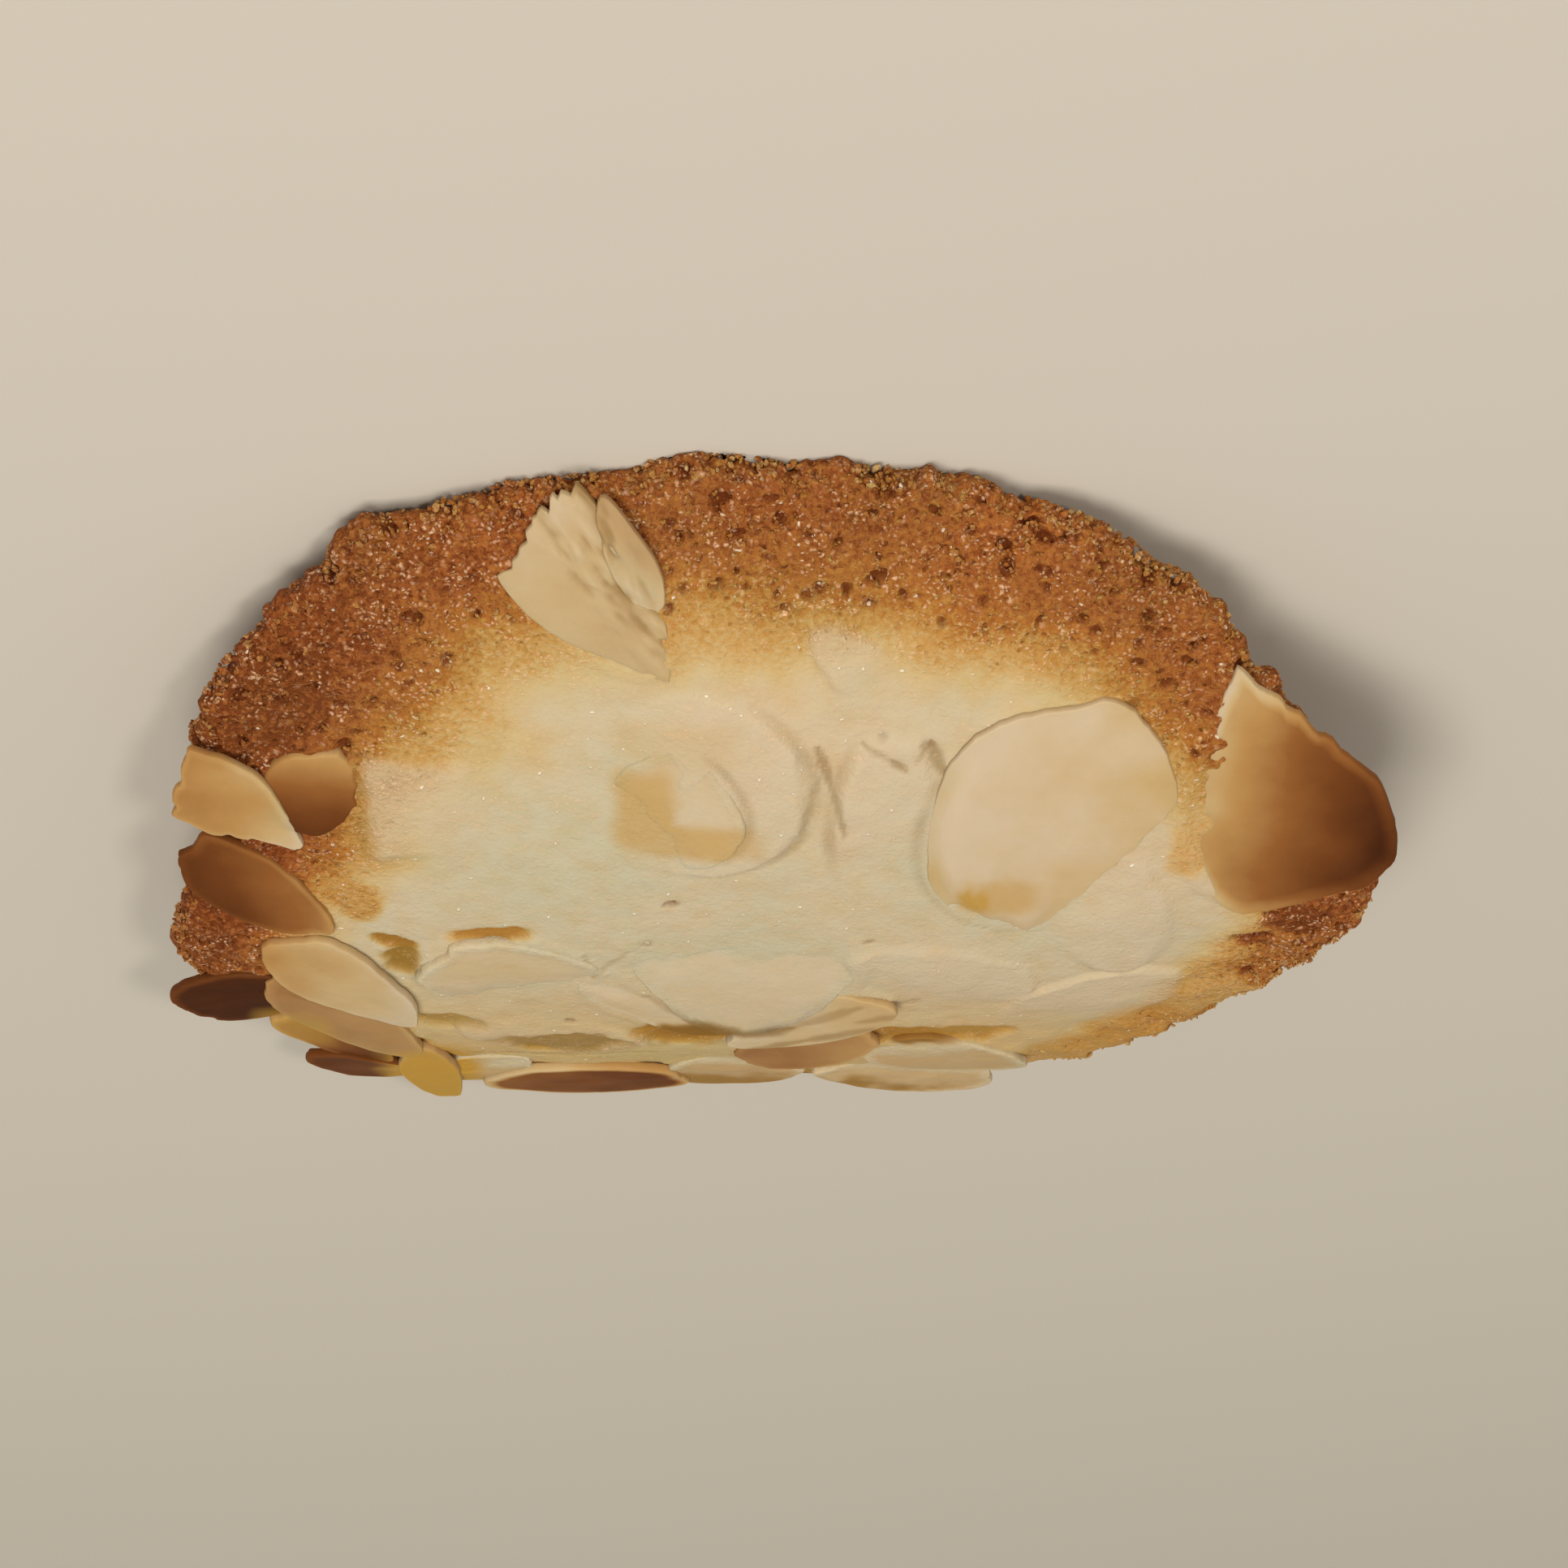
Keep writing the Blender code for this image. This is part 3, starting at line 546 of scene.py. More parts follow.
def dough_skin(reach, angle, out):
    """Points of the dough's skin and the numbers on them. Flat places are a reach times the rim radius,
    jagged by two noises round the rim. The outer face, the rounded rim and the underside follow from
    the slope. Lumps of 1.4, 0.65 and 0.45 mm, high in the crust and faint in the pale dough, and
    pores, hollows, cracks and swellings are pushed out or in along the skin's own direction."""
    east, north = np.cos(angle), np.sin(angle)
    crags = 0.42 * ripple(34 * east, 34 * north, 41) + 0.34 * ripple(75 * east, 75 * north, 43)
    radius = rim_radius(angle) + crags * ease(0.9, 1, reach)
    inset = radius - EDGE_ROUND
    face, below = out > FLAT_SLOPE, out < -FLAT_SLOPE
    distance = np.where(face | below, inset * reach, inset + EDGE_ROUND * np.cos(out))
    u, v = distance * east, distance * north
    top, under = dough_top(u, v), dough_under(u, v)
    side = 0.5 * (top + under) + 0.5 * (top - under) * np.sin(out)
    points = bend(u, v, np.where(face, top, np.where(below, under, side)))

    tone, hollow_shade, hollow = browning(u, v, np.where(below, 0, 1))
    under_tone, side_tone = np.clip(0.36 + 0.5 * tone, 0, 0.9), np.maximum(tone, 0.52)
    tone = np.where(face, tone, np.where(below, under_tone, side_tone))
    hollow = hollow * face
    rough = crustiness(angle) * (1 - hollow)
    crust = ease(0.15, 0.6, tone) * np.where(below, 0.4, 1) * rough
    grainy = np.clip(2.6 * (tone - 0.08), 0, 1) * rough

    pores = np.maximum(scattered_pores(u, v, 3.4, 5, 0.6), 0.85 * scattered_pores(u, v, 2.2, 7, 0.5))
    pores = pores * ease(0.2, 0.66, tone) * np.where(below, 0.5, 1) * rough
    for pit_u, pit_v, half_u, half_v, depth in PITS:
        way = np.hypot((u - pit_u) / half_u, (v - pit_v) / half_v) + relief(u, v, (0.2, 0.5, 57))
        pores = np.maximum(pores, depth / PIT_UNIT * (1 - ease(0.3, 1.1, way)) * face)
    # Cracks, layer gaps and gaps where the dough drew back sink the skin, and the same number paints shade
    # in them
    crevice_shade = np.maximum(shaded_crevices(CRACKS + LAYER_GAPS, u, v), 0.5 * gaps(u, v)) * face
    swell, almond = swellings(u, v)
    wrinkles = relief(u, v, (0.05, 2.4, 33), (0.03, 1.1, 35))
    lumps = (0.17 * solid_noise(points, 1.4, 51) + 0.12 * solid_noise(points, 0.65, 53)
             + 0.06 * solid_noise(points, 0.45, 55))
    push = lumps * (0.14 + crust) - PORE_DEPTH * pores - HOLLOW_DEPTH * hollow - CRACK_DEPTH * crevice_shade
    push = push + np.where(face, swell + menisci(u, v) + wrinkles, 0)
    points = on_floor(points + push[:, None] * skin_directions(v, angle, out))
    # The hollow, crevice and pore numbers are painted shade for the colour
    return points, dict(browning=tone, pore_shade=np.clip(1.4 * pores, 0, 1), almond=almond * face,
                        hollow_shade=hollow_shade * face, stain=stained(u, v, FAR_CAST) * face, crust=grainy,
                        crevice_shade=crevice_shade)


def make_dough():
    """The dough: a fine disc for the outer face, finest at the rim, then rings round the rim and a disc
    of half as many cells underneath, sewn two edges to one."""
    half = TOP_CELLS // 2
    count = 4 * TOP_CELLS
    top_reach, top_angle = square_to_disc(TOP_CELLS)
    under_reach, under_angle = square_to_disc(half)
    top_reach = top_reach * (1.2 - 0.2 * top_reach ** 2)
    edge = grid_edge(TOP_CELLS)
    slope = pi / 2 - pi * np.arange(1, SIDE_RINGS + 1) / (SIDE_RINGS + 1)
    reach = np.concatenate([top_reach, np.ones(count * SIDE_RINGS), under_reach])
    angle = np.concatenate([top_angle, np.tile(top_angle[edge], SIDE_RINGS), under_angle])
    out = np.concatenate([np.full(len(top_reach), pi / 2), np.repeat(slope, count),
                          np.full(len(under_reach), -pi / 2)])
    points, fields = dough_skin(reach, angle, out)
    first_ring = len(top_reach)
    first_under = first_ring + count * SIDE_RINGS
    rings = [edge] + [first_ring + k * count + np.arange(count) for k in range(SIDE_RINGS)]
    faces = grid_quads(TOP_CELLS).tolist()
    for above, below in zip(rings[:-1], rings[1:]):
        faces += np.stack([above, below, np.roll(below, -1), np.roll(above, -1)], axis=1).tolist()
    low = first_under + grid_edge(half)
    last = rings[-1]
    f0, f1, f2 = last[0::2], last[1::2], np.roll(last, -2)[0::2]
    c0, c1 = low, np.roll(low, -1)
    for corners in ((f0, c0, f1), (f1, c0, c1), (f1, c1, f2)):
        faces += np.stack(corners, axis=1).tolist()
    faces += (first_under + grid_quads(half)[:, ::-1]).tolist()
    return add_mesh("dough", points, faces, fields)


def flake_outline(name, theta, seed):
    """Outline of a slice by angle: a drop with its point at the tip, with slow and fine waves round it,
    snapped along its breaks, where what lies beyond is drawn in towards the middle onto a jagged line."""
    length, width, _, tip = FLAKES[name][2:6]
    a, b = np.cos(theta), np.sin(theta)
    wave = 1 + 0.05 * np.sin(3 * theta + seed) + 0.03 * np.sin(5 * theta + 2 * seed)
    wave = wave + 0.016 * ripple(6 * a + seed, 6 * b, 63)
    wave = wave + 0.01 * ripple(15 * a + seed, 15 * b, 69)
    along = 0.5 * length * a * wave
    across = 0.5 * width / drop_scale(tip) * b * np.abs(np.sin(theta / 2)) ** tip * wave
    for direction, distance in BREAKS.get(name, ()):
        out, beside = turned(along, across, direction)
        beside = beside * np.minimum(1, distance / np.maximum(out, 0.1))
        jag = 0.2 * ripple(beside * 0.7, beside * 0 + seed, 59)
        jag = jag + (0.16 + 1.5 * TORN.get(name, 0)) * ripple(beside * 1.6, beside * 0 + seed, 61)
        drawn_in = np.minimum(1, (distance + jag) / np.maximum(out, 0.1))
        along, across = along * drawn_in, across * drawn_in
    return along, across


def flake_fields(name, u, v, way, film, torn, bevel):
    """Numbers on a slice's points. Toast has slopes, a paler rim and faint mottling. The film of dough
    is thin on pale slices at the far end and on torn ones, and full at the rim of those half in the
    dough, where the patches show too, with painted shade in their hollows. The gaps between layers
    are painted shade as well. way is the share of the way out to the edge."""
    u0, v0, length, width = FLAKES[name][:4]
    tone, tone_u, tone_v, pale_rim = FLAKES[name][9]
    half_sunk = name in HALF_SUNK
    toast = tone + 0.1 * half_sunk * ease(6, 30, -v)
    toast = toast + tone_u * (u - u0) / (0.5 * width) + tone_v * (v - v0) / (0.5 * length)
    toast = toast - pale_rim * ease(0.86, 0.97, way) + relief(u, v, (0.05, 3.1, 71))
    toast = toast - 0.3 * torn + 0.12 * bevel
    paleness = np.clip(1 - 2 * tone, 0, 1)
    film = ease(0, 0.6, film)
    film = np.maximum(film, (0.4 + 0.6 * ease(0.82, 0.95, way)) * half_sunk)
    film = np.maximum(film, 0.45 * ease(8, 20, -v) * paleness)
    film = np.maximum(film, 0.35 * (name in TORN))
    # Under the patches' hollows the slices take the same painted shade
    hollow_shade = np.zeros_like(toast)
    if half_sunk:
        for mask, patch_tone, patch_shade in patch_masks(u, v):
            mask = mask * (v < FAR_END)
            toast = toast + mask * (patch_tone - toast)
            film = film * (1 - mask)
            hollow_shade = np.maximum(hollow_shade, mask * patch_shade)
    return dict(toast=np.clip(toast, 0, 1), stain=stained(u, v, FAR_CAST * paleness), film=film,
                crevice_shade=shaded_crevices(LAYER_GAPS, u, v), hollow_shade=hollow_shade)


def make_flake(name, seed):
    """One slice: rings from the middle of its face out to its outline, round its eased edge and back
    underneath. The face is a plane with the slice's own tilt, a slight dish and shallow ridges. Torn
    slices rise and fall along their fibres, bevelled ones slope down to their edge on one side, and
    those half in the dough dip under it."""
    u0, v0, length, width, turn, _, proud, rise, roll = FLAKES[name][:9]
    count = FLAKE_CORNERS
    along, across = flake_outline(name, np.arange(count) * 2 * pi / count, seed)
    thick, round_edge = PLATE_IN_DOUGH if proud < LOW_FACE else PLATE_STANDING
    face_scale = 1 - (1 - np.linspace(0, 1, FACE_RINGS + 1)[1:]) ** 1.3
    turn_in = np.linspace(0, pi, EDGE_RINGS)
    scale = np.concatenate([face_scale, np.ones(EDGE_RINGS), np.linspace(1, 0, UNDER_RINGS + 2)[1:-1]])
    inset = round_edge * np.concatenate([face_scale, 1 - np.sin(turn_in), np.ones(UNDER_RINGS)])
    drop = np.concatenate([np.zeros(FACE_RINGS), 0.5 * (1 - np.cos(turn_in)), np.ones(UNDER_RINGS)])
    size = np.maximum(np.hypot(along, across), 0.6)
    shrink = scale[:, None] * np.clip(1 - inset[:, None] / size, 0.02, 1)
    x, y = (np.append((shrink * side).ravel(), [0, 0]) for side in (along, across))
    way = np.append(np.repeat(scale, count), [0, 0])
    depth = thick * np.append(np.repeat(drop, count), [0, 1])
    a, b = cos(radians(turn)), sin(radians(turn))
    u, v = u0 + a * x - b * y, v0 + b * x + a * y

    base = float(dough_top(np.array(u0), np.array(v0))) + proud
    dish = 0.1 * sin(2.1 * seed) * ((x / (0.5 * length)) ** 2 - (y / (0.5 * width)) ** 2)
    ridges = 0.035 * ripple(x / 3, y / 0.9 + seed, 65) + 0.03 * ripple(x / 1.4, y / 1.4 + seed, 67)
    fibres = ripple(x / 2.4, y / 0.7 + seed, 75) + 0.6 * ripple(x / 0.9, y / 0.4 + seed, 77)
    torn = TORN.get(name, 0) * ease(-1.5, 2, y) * fibres
    film = covered(name, HALF_SUNK, u, v)
    bevel = np.zeros_like(u)
    if name in BEVELLED:
        facing = np.cos(np.arctan2(v - v0, u - u0) - radians(BEVELLED[name]))
        bevel = ease(0.8, 0.96, way * (depth < 0.5)) * ease(0.1, 0.7, facing)
    height = base + rise * x + roll * y + dish + ridges + torn - BEVEL_DROP * bevel - depth
    points = on_floor(bend(u, v, height - FILM_DIP * film))

    rings = np.arange(len(scale) * count).reshape(-1, count)
    inner, outer = rings[:-1], rings[1:]
    quads = np.stack([inner, outer, np.roll(outer, -1, 1), np.roll(inner, -1, 1)], axis=-1)
    first, last, pole = rings[0], rings[-1], np.full(count, rings.size)
    cap = np.stack([pole, first, np.roll(first, -1)], axis=1)
    floor = np.stack([last, pole + 1, np.roll(last, -1)], axis=1)
    fields = flake_fields(name, u, v, way, film, torn, bevel)
    # Painted shade on torn slices: a little all over and more in the valleys between their fibres
    split_shade = (0.13 + 0.5 * ease(0.05, 0.75, -fibres) * ease(-1.5, 1.5, y)) * (name in TORN)
    fields["crevice_shade"] = np.maximum(fields["crevice_shade"], split_shade)
    fields["stain"] = fields["stain"] * (depth < 0.1)
    return points, quads.reshape(-1, 4).tolist() + cap.tolist() + floor.tolist(), fields


def make_flakes():
    """All the slices that show as slices, as one mesh."""
    points, faces, numbers = [], [], []
    start = 0
    for index, name in enumerate(FLAKES):
        if name in SUNK:
            continue
        flake_points, flake_faces, fields = make_flake(name, 1 + index)
        points.append(flake_points)
        faces += [[corner + start for corner in face] for face in flake_faces]
        numbers.append(fields)
        start += len(flake_points)
    fields = {key: np.concatenate([one[key] for one in numbers]) for key in numbers[0]}
    return add_mesh("almond_slices", np.concatenate(points), faces, fields)


def lump_shape():
    """A unit lump: two rings of five corners between two poles, as points and triangles."""
    turn = np.arange(5) * 2 * pi / 5
    rings = [np.stack([0.89 * np.cos(turn + shift), 0.89 * np.sin(turn + shift), np.full(5, height)], axis=1)
             for shift, height in ((0, 0.45), (pi / 5, -0.45))]
    points = np.concatenate(rings + [[[0, 0, 1], [0, 0, -1]]])
    faces = []
    for step in range(5):
        after = (step + 1) % 5
        faces += [(10, step, after), (step, 5 + step, after), (after, 5 + step, 5 + after),
                  (11, 5 + after, 5 + step)]
    return points, np.array(faces)


def random_turns(draw, total):
    """Turning matrices of evenly spread random unit quaternions."""
    q = draw.normal(size=(total, 4))
    w, x, y, z = (q / np.linalg.norm(q, axis=1)[:, None]).T
    rows = [1 - 2 * (y * y + z * z), 2 * (x * y - w * z), 2 * (x * z + w * y),
            2 * (x * y + w * z), 1 - 2 * (x * x + z * z), 2 * (y * z - w * x),
            2 * (x * z - w * y), 2 * (y * z + w * x), 1 - 2 * (x * x + y * y)]
    return np.stack(rows, axis=1).reshape(-1, 3, 3)


def make_crumbs():
    """Crumbs of the browned crust: small dented lumps of 20 facets, each stretched and turned its own
    way and half sunk in the skin, drawn with a fixed seed, closest at the rim and fewer inwards. On
    the outer face none lies on a slice or in a smooth hollow. Some are paler, a painted highlight of
    light catching them, most of all on the rim's side."""
    draw = np.random.default_rng(CRUMB_SEED)
    total = CRUMB_COUNT
    angle = draw.uniform(-pi, pi, total)
    out = draw.uniform(-0.8, 6, total).clip(-0.8, pi / 2)
    face = out > FLAT_SLOPE
    inward = np.where(face, draw.exponential(CRUMB_REACH, total), 0)
    radius = rim_radius(angle) - EDGE_ROUND * (1 - np.cos(out)) * ~face - inward - 0.3 * face
    u, v = radius * np.cos(angle), radius * np.sin(angle)
    tone, _, hollow = browning(u, v)
    hidden = hollow > 0.2
    for name in FLAKES:
        if name not in SUNK:
            hidden |= flake_inside(name, u, v) > 0
    chance = np.where(face, ease(0.2, 0.6, tone), 1) * crustiness(angle)
    keep = (draw.random(total) < chance) & ~(hidden & face)
    angle, out, u, v, tone, face = (values[keep] for values in (angle, out, u, v, tone, face))
    total = len(angle)
    top, under = dough_top(u, v), dough_under(u, v)
    height = np.where(face, top, 0.5 * (top + under) + 0.5 * (top - under) * np.sin(out))
    size = (0.08 + 0.16 * draw.random(total) ** 2) * np.where(face, 1, 1.2)
    centre = bend(u, v, height) + (0.02 - 0.25 * size)[:, None] * skin_directions(v, angle, out)
    lump, triangles = lump_shape()
    dent = 1 + 0.35 * draw.uniform(-1, 1, (total, len(lump), 1))
    stretch = draw.uniform(0.6, 1.5, (total, 1, 3))
    shaped = np.einsum("nij,nkj->nki", random_turns(draw, total), lump[None] * dent * stretch)
    points = on_floor((centre[:, None, :] + shaped * size[:, None, None]).reshape(-1, 3))
    faces = (np.arange(total)[:, None, None] * len(lump) + triangles[None]).reshape(-1, 3).tolist()
    # Painted highlight: a random share of crumbs is paler, more so on the rim's side, as if lit
    pale_highlight = draw.random(total) ** 2 * np.where(face, 0.4, 0.8)
    tone = np.clip(tone + draw.uniform(-0.25, 0.02, total) - 0.4 * pale_highlight, 0.3, 1)
    fields = {key: np.zeros(len(points)) for key in ("pore_shade", "almond", "hollow_shade", "stain", "crevice_shade")}
    fields["browning"] = np.repeat(tone, len(lump))
    fields["almond"] = np.repeat(0.3 * pale_highlight, len(lump))
    fields["crust"] = np.ones(len(points))
    crumbs = add_mesh("rim_crumbs", points, faces, fields)
    crumbs.data.shade_flat()
    return crumbs


# Colours of the dough and of the almond by tone, as screen values
DOUGH_TONES = ((0, (209, 194, 167)), (0.12, (211, 186, 139)), (0.24, (206, 165, 104)),
               (0.36, (197, 147, 80)), (0.46, (191, 133, 66)), (0.56, (182, 117, 53)),
               (0.66, (177, 111, 53)), (0.76, (167, 100, 49)), (0.88, (150, 83, 39)), (1, (124, 64, 27)))
ALMOND_TONES = ((0, (210, 189, 158)), (0.15, (200, 170, 120)), (0.3, (184, 141, 84)),
                (0.5, (147, 94, 46)), (0.7, (112, 63, 26)), (0.9, (78, 39, 14)), (1, (62, 31, 11)))

# What lies over those colours: the mesh's number that says where, its greatest strength and its colour.
# The shade in hollows, gaps, cracks and pores is painted shade; the sunk almond and the stain are real
# colours.
DOUGH_LAYERS = (("almond", 0.5, (209, 191, 162)), ("hollow_shade", 0.8, (132, 104, 36)),
                ("stain", 1, (192, 148, 62)), ("crevice_shade", 0.9, (134, 102, 46)),
                ("pore_shade", 0.85, (106, 46, 15)))
ALMOND_LAYERS = (("stain", 1, (192, 148, 62)), ("hollow_shade", 0.8, (132, 104, 36)), ("crevice_shade", 0.9, (134, 98, 40)))


def srgb(red, green, blue):
    """Linear colour of three screen values from 0 to 255."""
    screen = np.array([red, green, blue]) / 255
    linear = np.where(screen <= 0.04045, screen / 12.92, ((screen + 0.055) / 1.055) ** 2.4)
    return (*linear.tolist(), 1)


def set_inputs(made, inputs):
    """Sets a node's inputs to values, or joins them to outputs."""
    for key, value in inputs.items():
        if isinstance(value, bpy.types.NodeSocket):
            made.id_data.links.new(value, made.inputs[key])
        else:
            made.inputs[key].default_value = value


def add_node(kind, inputs, **settings):
    """Outputs of a new node with these inputs and settings, in the tree that its input sockets are in."""
    tree = next(value.id_data for value in inputs.values() if isinstance(value, bpy.types.NodeSocket))
    made = tree.nodes.new("ShaderNode" + kind)
    for key, value in settings.items():
        setattr(made, key, value)
    set_inputs(made, inputs)
    return made.outputs


def new_group(name, given, results):
    """A shader node group with sockets of these names and kinds, its inner inputs and output node."""
    tree = bpy.data.node_groups.new(name, "ShaderNodeTree")
    for direction, sockets in (("INPUT", given), ("OUTPUT", results)):
        for socket, kind in sockets.items():
            tree.interface.new_socket(socket, in_out=direction, socket_type="NodeSocket" + kind)
    return tree, tree.nodes.new("NodeGroupInput").outputs, tree.nodes.new("NodeGroupOutput")


def place_group(group, **inputs):
    """Outputs of a node group placed in a material."""
    return add_node("Group", inputs, node_tree=group)


def maths(operation, first, second=0, third=0, clamp=False):
    """A maths node on values or sockets."""
    inputs = {0: first, 1: second, 2: third}
    return add_node("Math", inputs, operation=operation, use_clamp=clamp)[0]


def times(first, second, clamp=False):
    """First times second."""
    return maths("MULTIPLY", first, second, clamp=clamp)


def times_plus(first, second, third, clamp=False):
    """First times second, plus third."""
    return maths("MULTIPLY_ADD", first, second, third, clamp)


def spread(value, start, gain):
    """What a value has over its start, times a gain, kept from 0 to 1."""
    return times(maths("SUBTRACT", value, start), gain, clamp=True)


def mix_colour(factor, first, second, blend="MIX"):
    """Blends two colours by a factor."""
    inputs = {0: factor, 6: first, 7: second}
    return add_node("Mix", inputs, data_type="RGBA", blend_type=blend)[2]


def field(tree, name):
    """The number that a mesh carries under this name."""
    made = tree.nodes.new("ShaderNodeAttribute")
    made.attribute_name = name
    return made.outputs["Fac"]


def overlaid(colour, layers):
    """A colour under others, each as strong as a number on the mesh times its greatest strength."""
    for name, strength, screen in layers:
        colour = mix_colour(times(field(colour.id_data, name), strength), colour, srgb(*screen))
    return colour


def noise(vector, scale, detail=2, roughness=0.5):
    """Noise in object space, from 0 to 1."""
    inputs = {"Vector": vector, "Scale": scale, "Detail": detail, "Roughness": roughness}
    return add_node("TexNoise", inputs)["Fac"]


def bumped(*layers):
    """Normals of a surface whose fine height is the sum of values, each times its weight. 1 is 0.3 mm."""
    height = 0
    for value, weight in layers:
        height = times_plus(value, weight, height)
    return add_node("Bump", {"Height": height, "Distance": 0.0003, "Strength": 1})["Normal"]


def cell_mask(vector, scale, reach, share):
    """Round spots in a share of the cells of a random pattern, from 1 in a spot's middle to 0 at a
    reach given in cells."""
    cells = add_node("TexVoronoi", {"Vector": vector, "Scale": scale})
    spot = maths("SUBTRACT", 1, maths("DIVIDE", cells["Distance"], reach), clamp=True)
    draw = add_node("SeparateColor", {"Color": cells["Color"]})
    return times(spot, maths("LESS_THAN", draw["Green"], share))


def crumb_grain_group():
    """Fine structure of baked sugar dough in object space, each as a value from 0 to 1: an open grain,
    small round pores, pale glassy sugar grains that gather in some places, and a few larger ones. The
    dough paints the sugar grains and the larger glints as pale highlights as well as glossy specks."""
    tree, given, result = new_group("crumb_grain", {"Vector": "Vector"},
                                    dict(Grain="Float", Pores="Float", SugarGlint="Float", Glints="Float"))
    place = given["Vector"]
    warp = add_node("TexNoise", {"Vector": place, "Scale": 1800, "Detail": 1})["Color"]
    warped = add_node("VectorMath", {0: warp, 1: (0.0005,) * 3, 2: place}, operation="MULTIPLY_ADD")[0]
    gather = spread(noise(place, 480), 0.4, 4.5)
    sugar_glint = maths("MAXIMUM", cell_mask(warped, 2100, 0.42, 0.32), cell_mask(warped, 3500, 0.5, 0.4))
    set_inputs(result, {
        "Grain": spread(noise(warped, 2300, 3, 0.6), 0.27, 2.2),
        "Pores": maths("MAXIMUM", cell_mask(warped, 780, 0.26, 0.55), cell_mask(warped, 1500, 0.28, 0.4)),
        "SugarGlint": times(times(sugar_glint, 1.7, clamp=True), gather),
        "Glints": times(cell_mask(warped, 1600, 0.26, 0.05), 2.5, clamp=True)})
    return tree


def cream_group():
    """Colour of the pale dough: cream, mottled with a greener and a warmer shade."""
    tree, given, result = new_group("cream_tint", {"Vector": "Vector"}, {"Color": "Color"})
    wide = spread(noise(given["Vector"], 70), 0.36, 3)
    small = spread(noise(given["Vector"], 480, 3), 0.38, 3.2)
    colour = mix_colour(wide, srgb(243, 250, 244), srgb(255, 248, 238))
    warmer = mix_colour(1, colour, srgb(252, 246, 236), "MULTIPLY")
    set_inputs(result, {"Color": mix_colour(small, colour, warmer)})
    return tree


def tone_group(name, table):
    """Colour by how far a surface has browned, from 0 to 1: a ramp through a table of tones."""
    tree, given, result = new_group(name, {"Tone": "Float"}, {"Color": "Color"})
    ramp = tree.nodes.new("ShaderNodeValToRGB")
    elements = ramp.color_ramp.elements
    while len(elements) < len(table):
        elements.new(0.5)
    for element, (tone, screen) in zip(elements, table):
        element.position = tone
        element.color = srgb(*screen)
    set_inputs(ramp, {"Fac": given["Tone"]})
    set_inputs(result, {"Color": ramp.outputs["Color"]})
    return tree


def new_material(name):
    """A material with one Principled shader, its tree and its object coordinates."""
    material = bpy.data.materials.new(name)
    material.use_nodes = True
    tree = material.node_tree
    shader = next(made for made in tree.nodes if made.type == "BSDF_PRINCIPLED")
    return material, tree, shader, tree.nodes.new("ShaderNodeTexCoord").outputs["Object"]


def dough_material(grain_group, colour_group, cream):
    """Baked dough: cream and satin in the middle, browned, porous and sugary towards the rim, with painted
    shade in its pits and low places and painted highlights on its sugar specks.
    """
    material, tree, shader, place = new_material("baked_dough")
    fine = place_group(grain_group, Vector=place)
    grain, sugar_glint, glints = fine["Grain"], fine["SugarGlint"], fine["Glints"]
    crust = field(tree, "crust")
    # Painted shade: pores and the low places of the grain darken the crust's tone
    shaded_pits = times(fine["Pores"], crust)
    low = times(maths("SUBTRACT", 0.5, grain), crust)
    tone = times_plus(shaded_pits, 0.2, times_plus(low, 0.46, field(tree, "browning")), clamp=True)
    colour = mix_colour(1, place_group(colour_group, Tone=tone)["Color"],
                        place_group(cream, Vector=place)["Color"], "MULTIPLY")
    colour = overlaid(colour, DOUGH_LAYERS)
    # Painted highlights: pale sugar specks and brighter glints lighten the colour
    pale_highlight = times(sugar_glint, times_plus(crust, 0.5, 0.26))
    colour = mix_colour(pale_highlight, colour, srgb(250, 202, 158))
    colour = mix_colour(times(glints, 0.75), colour, srgb(255, 240, 214))
    normal = bumped((grain, times_plus(crust, 0.5, 0.16)), (shaded_pits, -0.8),
                    (sugar_glint, times_plus(crust, 0.2, 0.05)), (glints, 0.2), (noise(place, 700), 0.3))
    set_inputs(shader, {
        "Base Color": colour, "Roughness": times_plus(sugar_glint, -0.35, 0.6), "Normal": normal,
        "Coat Weight": times(maths("MAXIMUM", sugar_glint, glints), 0.6),
        "Coat Roughness": 0.2, "Coat Normal": normal, "Specular IOR Level": 0.1,
        "Subsurface Weight": 0.15, "Subsurface Radius": (1, 0.55, 0.25), "Subsurface Scale": 0.0014})
    return material


def almond_material(colour_group, cream):
    """Blanched almond: smooth and satin, with faint mottling, toasted where the mesh says, and under a
    film of pale dough where the mesh says so."""
    material, tree, shader, place = new_material("almond_slice")
    mottle = maths("SUBTRACT", noise(place, 330, 3), 0.5)
    tone = times_plus(mottle, 0.14, field(tree, "toast"), clamp=True)
    colour = place_group(colour_group, Tone=tone)["Color"]
    tint = place_group(cream, Vector=place)["Color"]
    dough = mix_colour(1, srgb(*DOUGH_TONES[0][1]), tint, "MULTIPLY")
    colour = mix_colour(field(tree, "film"), colour, dough)
    rough = times(noise(place, 2300, 3, 0.6), 0.4)
    rough = times_plus(noise(place, 700), 0.3, rough)
    normal = bumped((noise(place, 1400, 3), 0.1), (rough, field(tree, "film")))
    # The layers paint shade into the slices' gaps and hollows over their own toast and stain
    set_inputs(shader, {
        "Base Color": overlaid(colour, ALMOND_LAYERS), "Roughness": 0.55,
        "Specular IOR Level": 0.08, "Normal": normal,
        "Subsurface Weight": 0.25, "Subsurface Radius": (1, 0.7, 0.4), "Subsurface Scale": 0.0015})
    return material


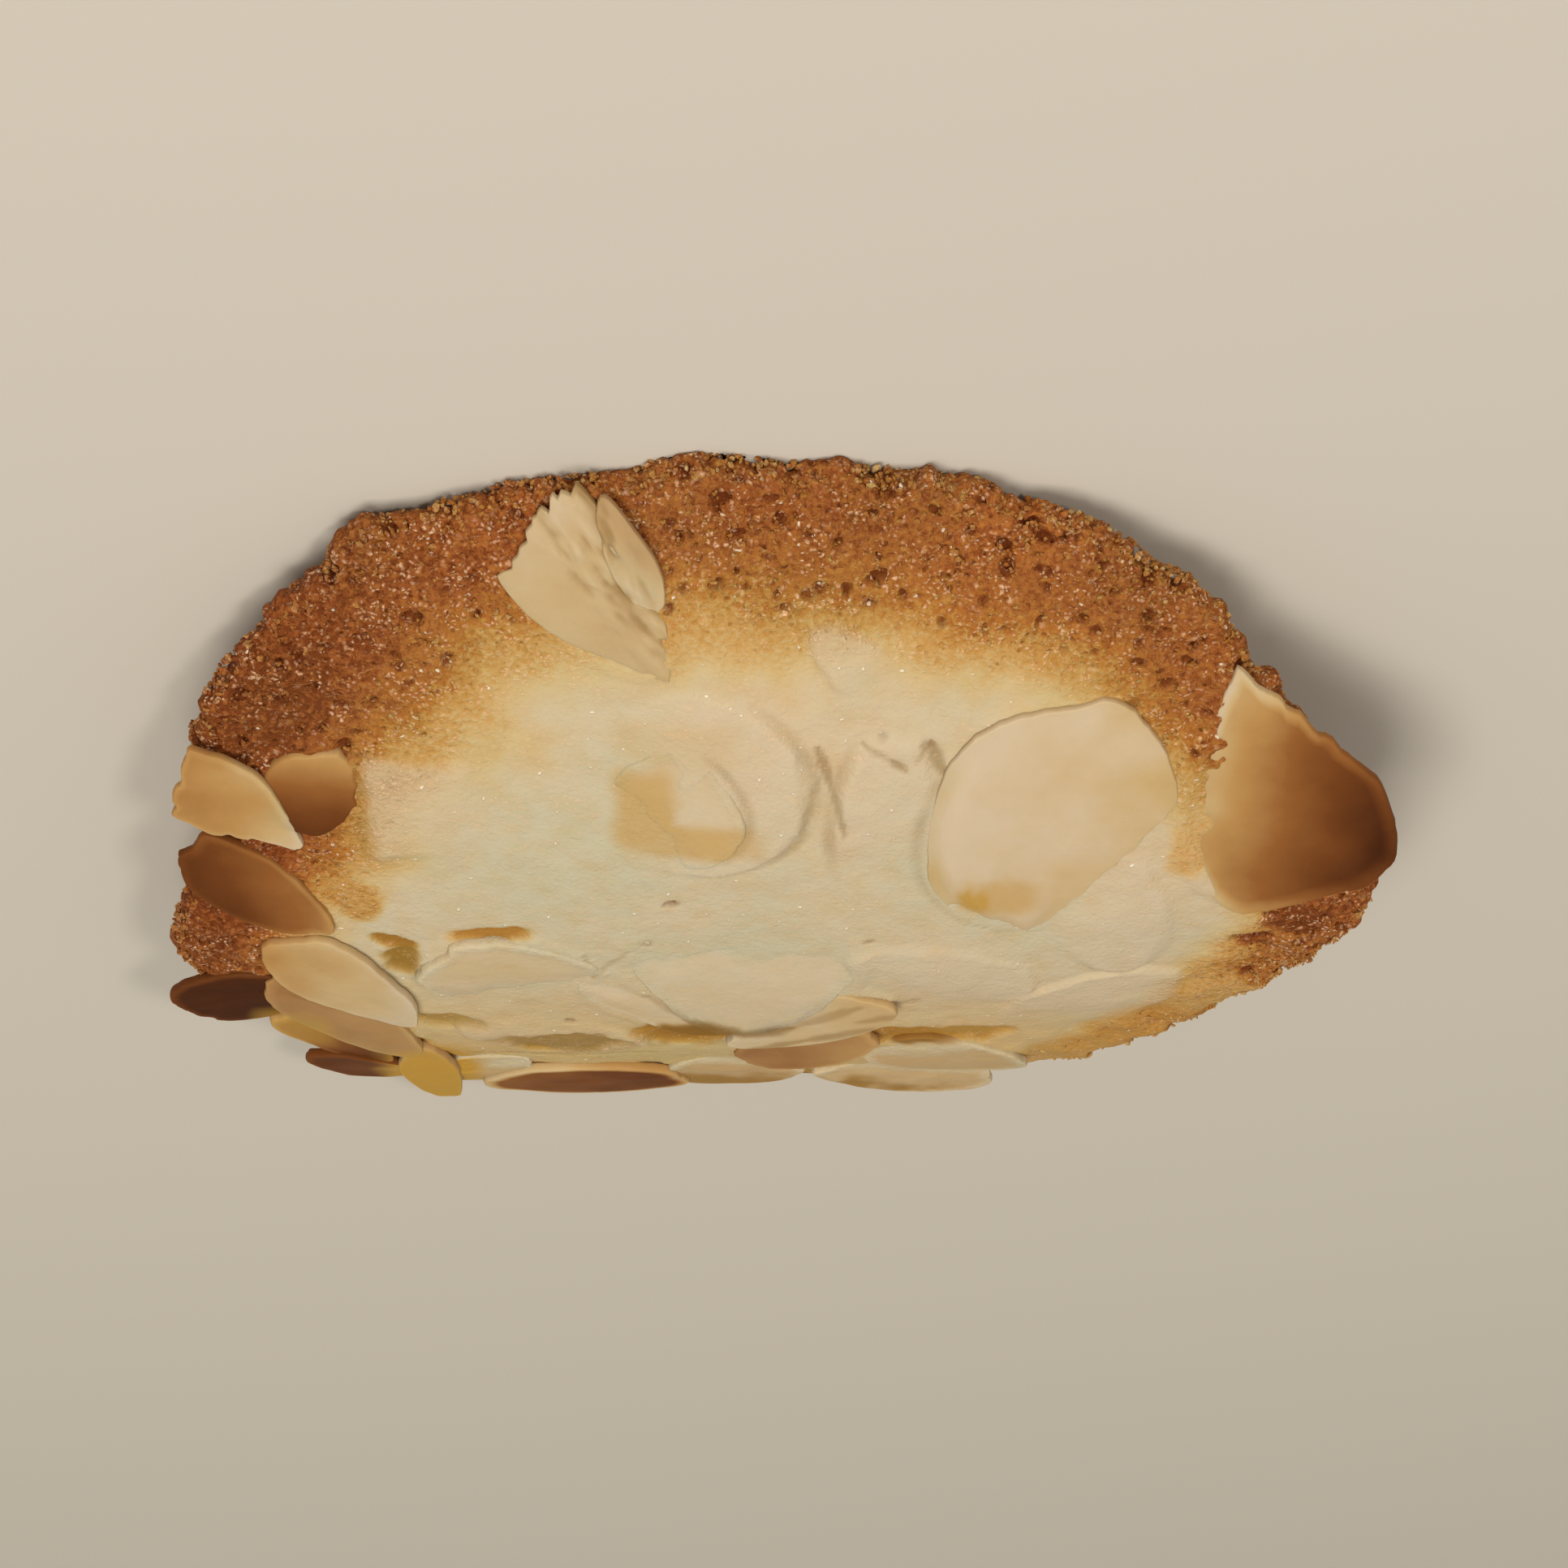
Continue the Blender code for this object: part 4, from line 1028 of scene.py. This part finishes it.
def make_floor():
    """A wide plain pale floor under the biscuit."""
    material, _, shader, place = new_material("pale_floor")
    colour = mix_colour(noise(place, 3, 1), srgb(206, 199, 186), srgb(200, 192, 178))
    set_inputs(shader, {"Base Color": colour, "Roughness": 0.85})
    corners = np.array([(-1, -1, 0), (1, -1, 0), (1, 1, 0), (-1, 1, 0)]) * FLOOR_HALF * MM
    mesh = bpy.data.meshes.new("floor")
    mesh.from_pydata(corners.tolist(), [], [(0, 1, 2, 3)])
    mesh.materials.append(material)
    put_in_scene("floor", mesh)


def aimed(thing, place, target, up):
    """Moves a camera or light to a place and points it at a target, with its top towards up."""
    place, target, up = np.array(place), np.array(target), np.array(up)
    back = (place - target) / np.linalg.norm(place - target)
    right = np.cross(up, back)
    right = right / np.linalg.norm(right)
    matrix = np.eye(4)
    matrix[:3] = np.stack([right, np.cross(back, right), back, place], axis=1)
    thing.matrix_world = matrix.T.tolist()


def make_camera():
    """A camera on the +Y side that looks down at the crown, turned so that +Y is at the picture's top."""
    crown = bend(np.array(0), np.array(0), THICK_CENTRE)
    tilt = radians(VIEW_ANGLE)
    towards, picture_up = np.array([0, sin(tilt), cos(tilt)]), np.array([0, cos(tilt), -sin(tilt)])
    data = bpy.data.cameras.new("camera")
    data.sensor_width = 36
    data.lens = 18 / (0.5 * VIEW_WIDTH / VIEW_DISTANCE)
    data.clip_start = 0.01
    camera = put_in_scene("camera", data)
    middle = crown + VIEW_OFFSET[1] * picture_up + np.array([VIEW_OFFSET[0], 0, 0])
    aimed(camera, (crown + VIEW_DISTANCE * towards) * MM, middle * MM, picture_up)
    bpy.context.scene.camera = camera


def make_lights():
    """Soft studio light: square lights aimed at the biscuit, and a pale room."""
    for name, place, size, power, colour in LIGHTS:
        data = bpy.data.lights.new(name, "AREA")
        data.size = size
        data.energy = power
        data.color = colour
        aimed(put_in_scene(name, data), place, (0, 0, 0.006), (0, 1, 0.01))
    world = bpy.data.worlds.new("room")
    world.use_nodes = True
    backdrop = next(made for made in world.node_tree.nodes if made.type == "BACKGROUND")
    set_inputs(backdrop, {"Color": ROOM_COLOUR, "Strength": ROOM_STRENGTH})
    bpy.context.scene.world = world
    bpy.context.scene.view_settings.view_transform = "Standard"


dough = make_dough()
slices = make_flakes()
crumbs = make_crumbs()
cream = cream_group()
baked = dough_material(crumb_grain_group(), tone_group("baked_tone", DOUGH_TONES), cream)
dough.data.materials.append(baked)
crumbs.data.materials.append(baked)
slices.data.materials.append(almond_material(tone_group("toast_tone", ALMOND_TONES), cream))
make_floor()
make_camera()
make_lights()
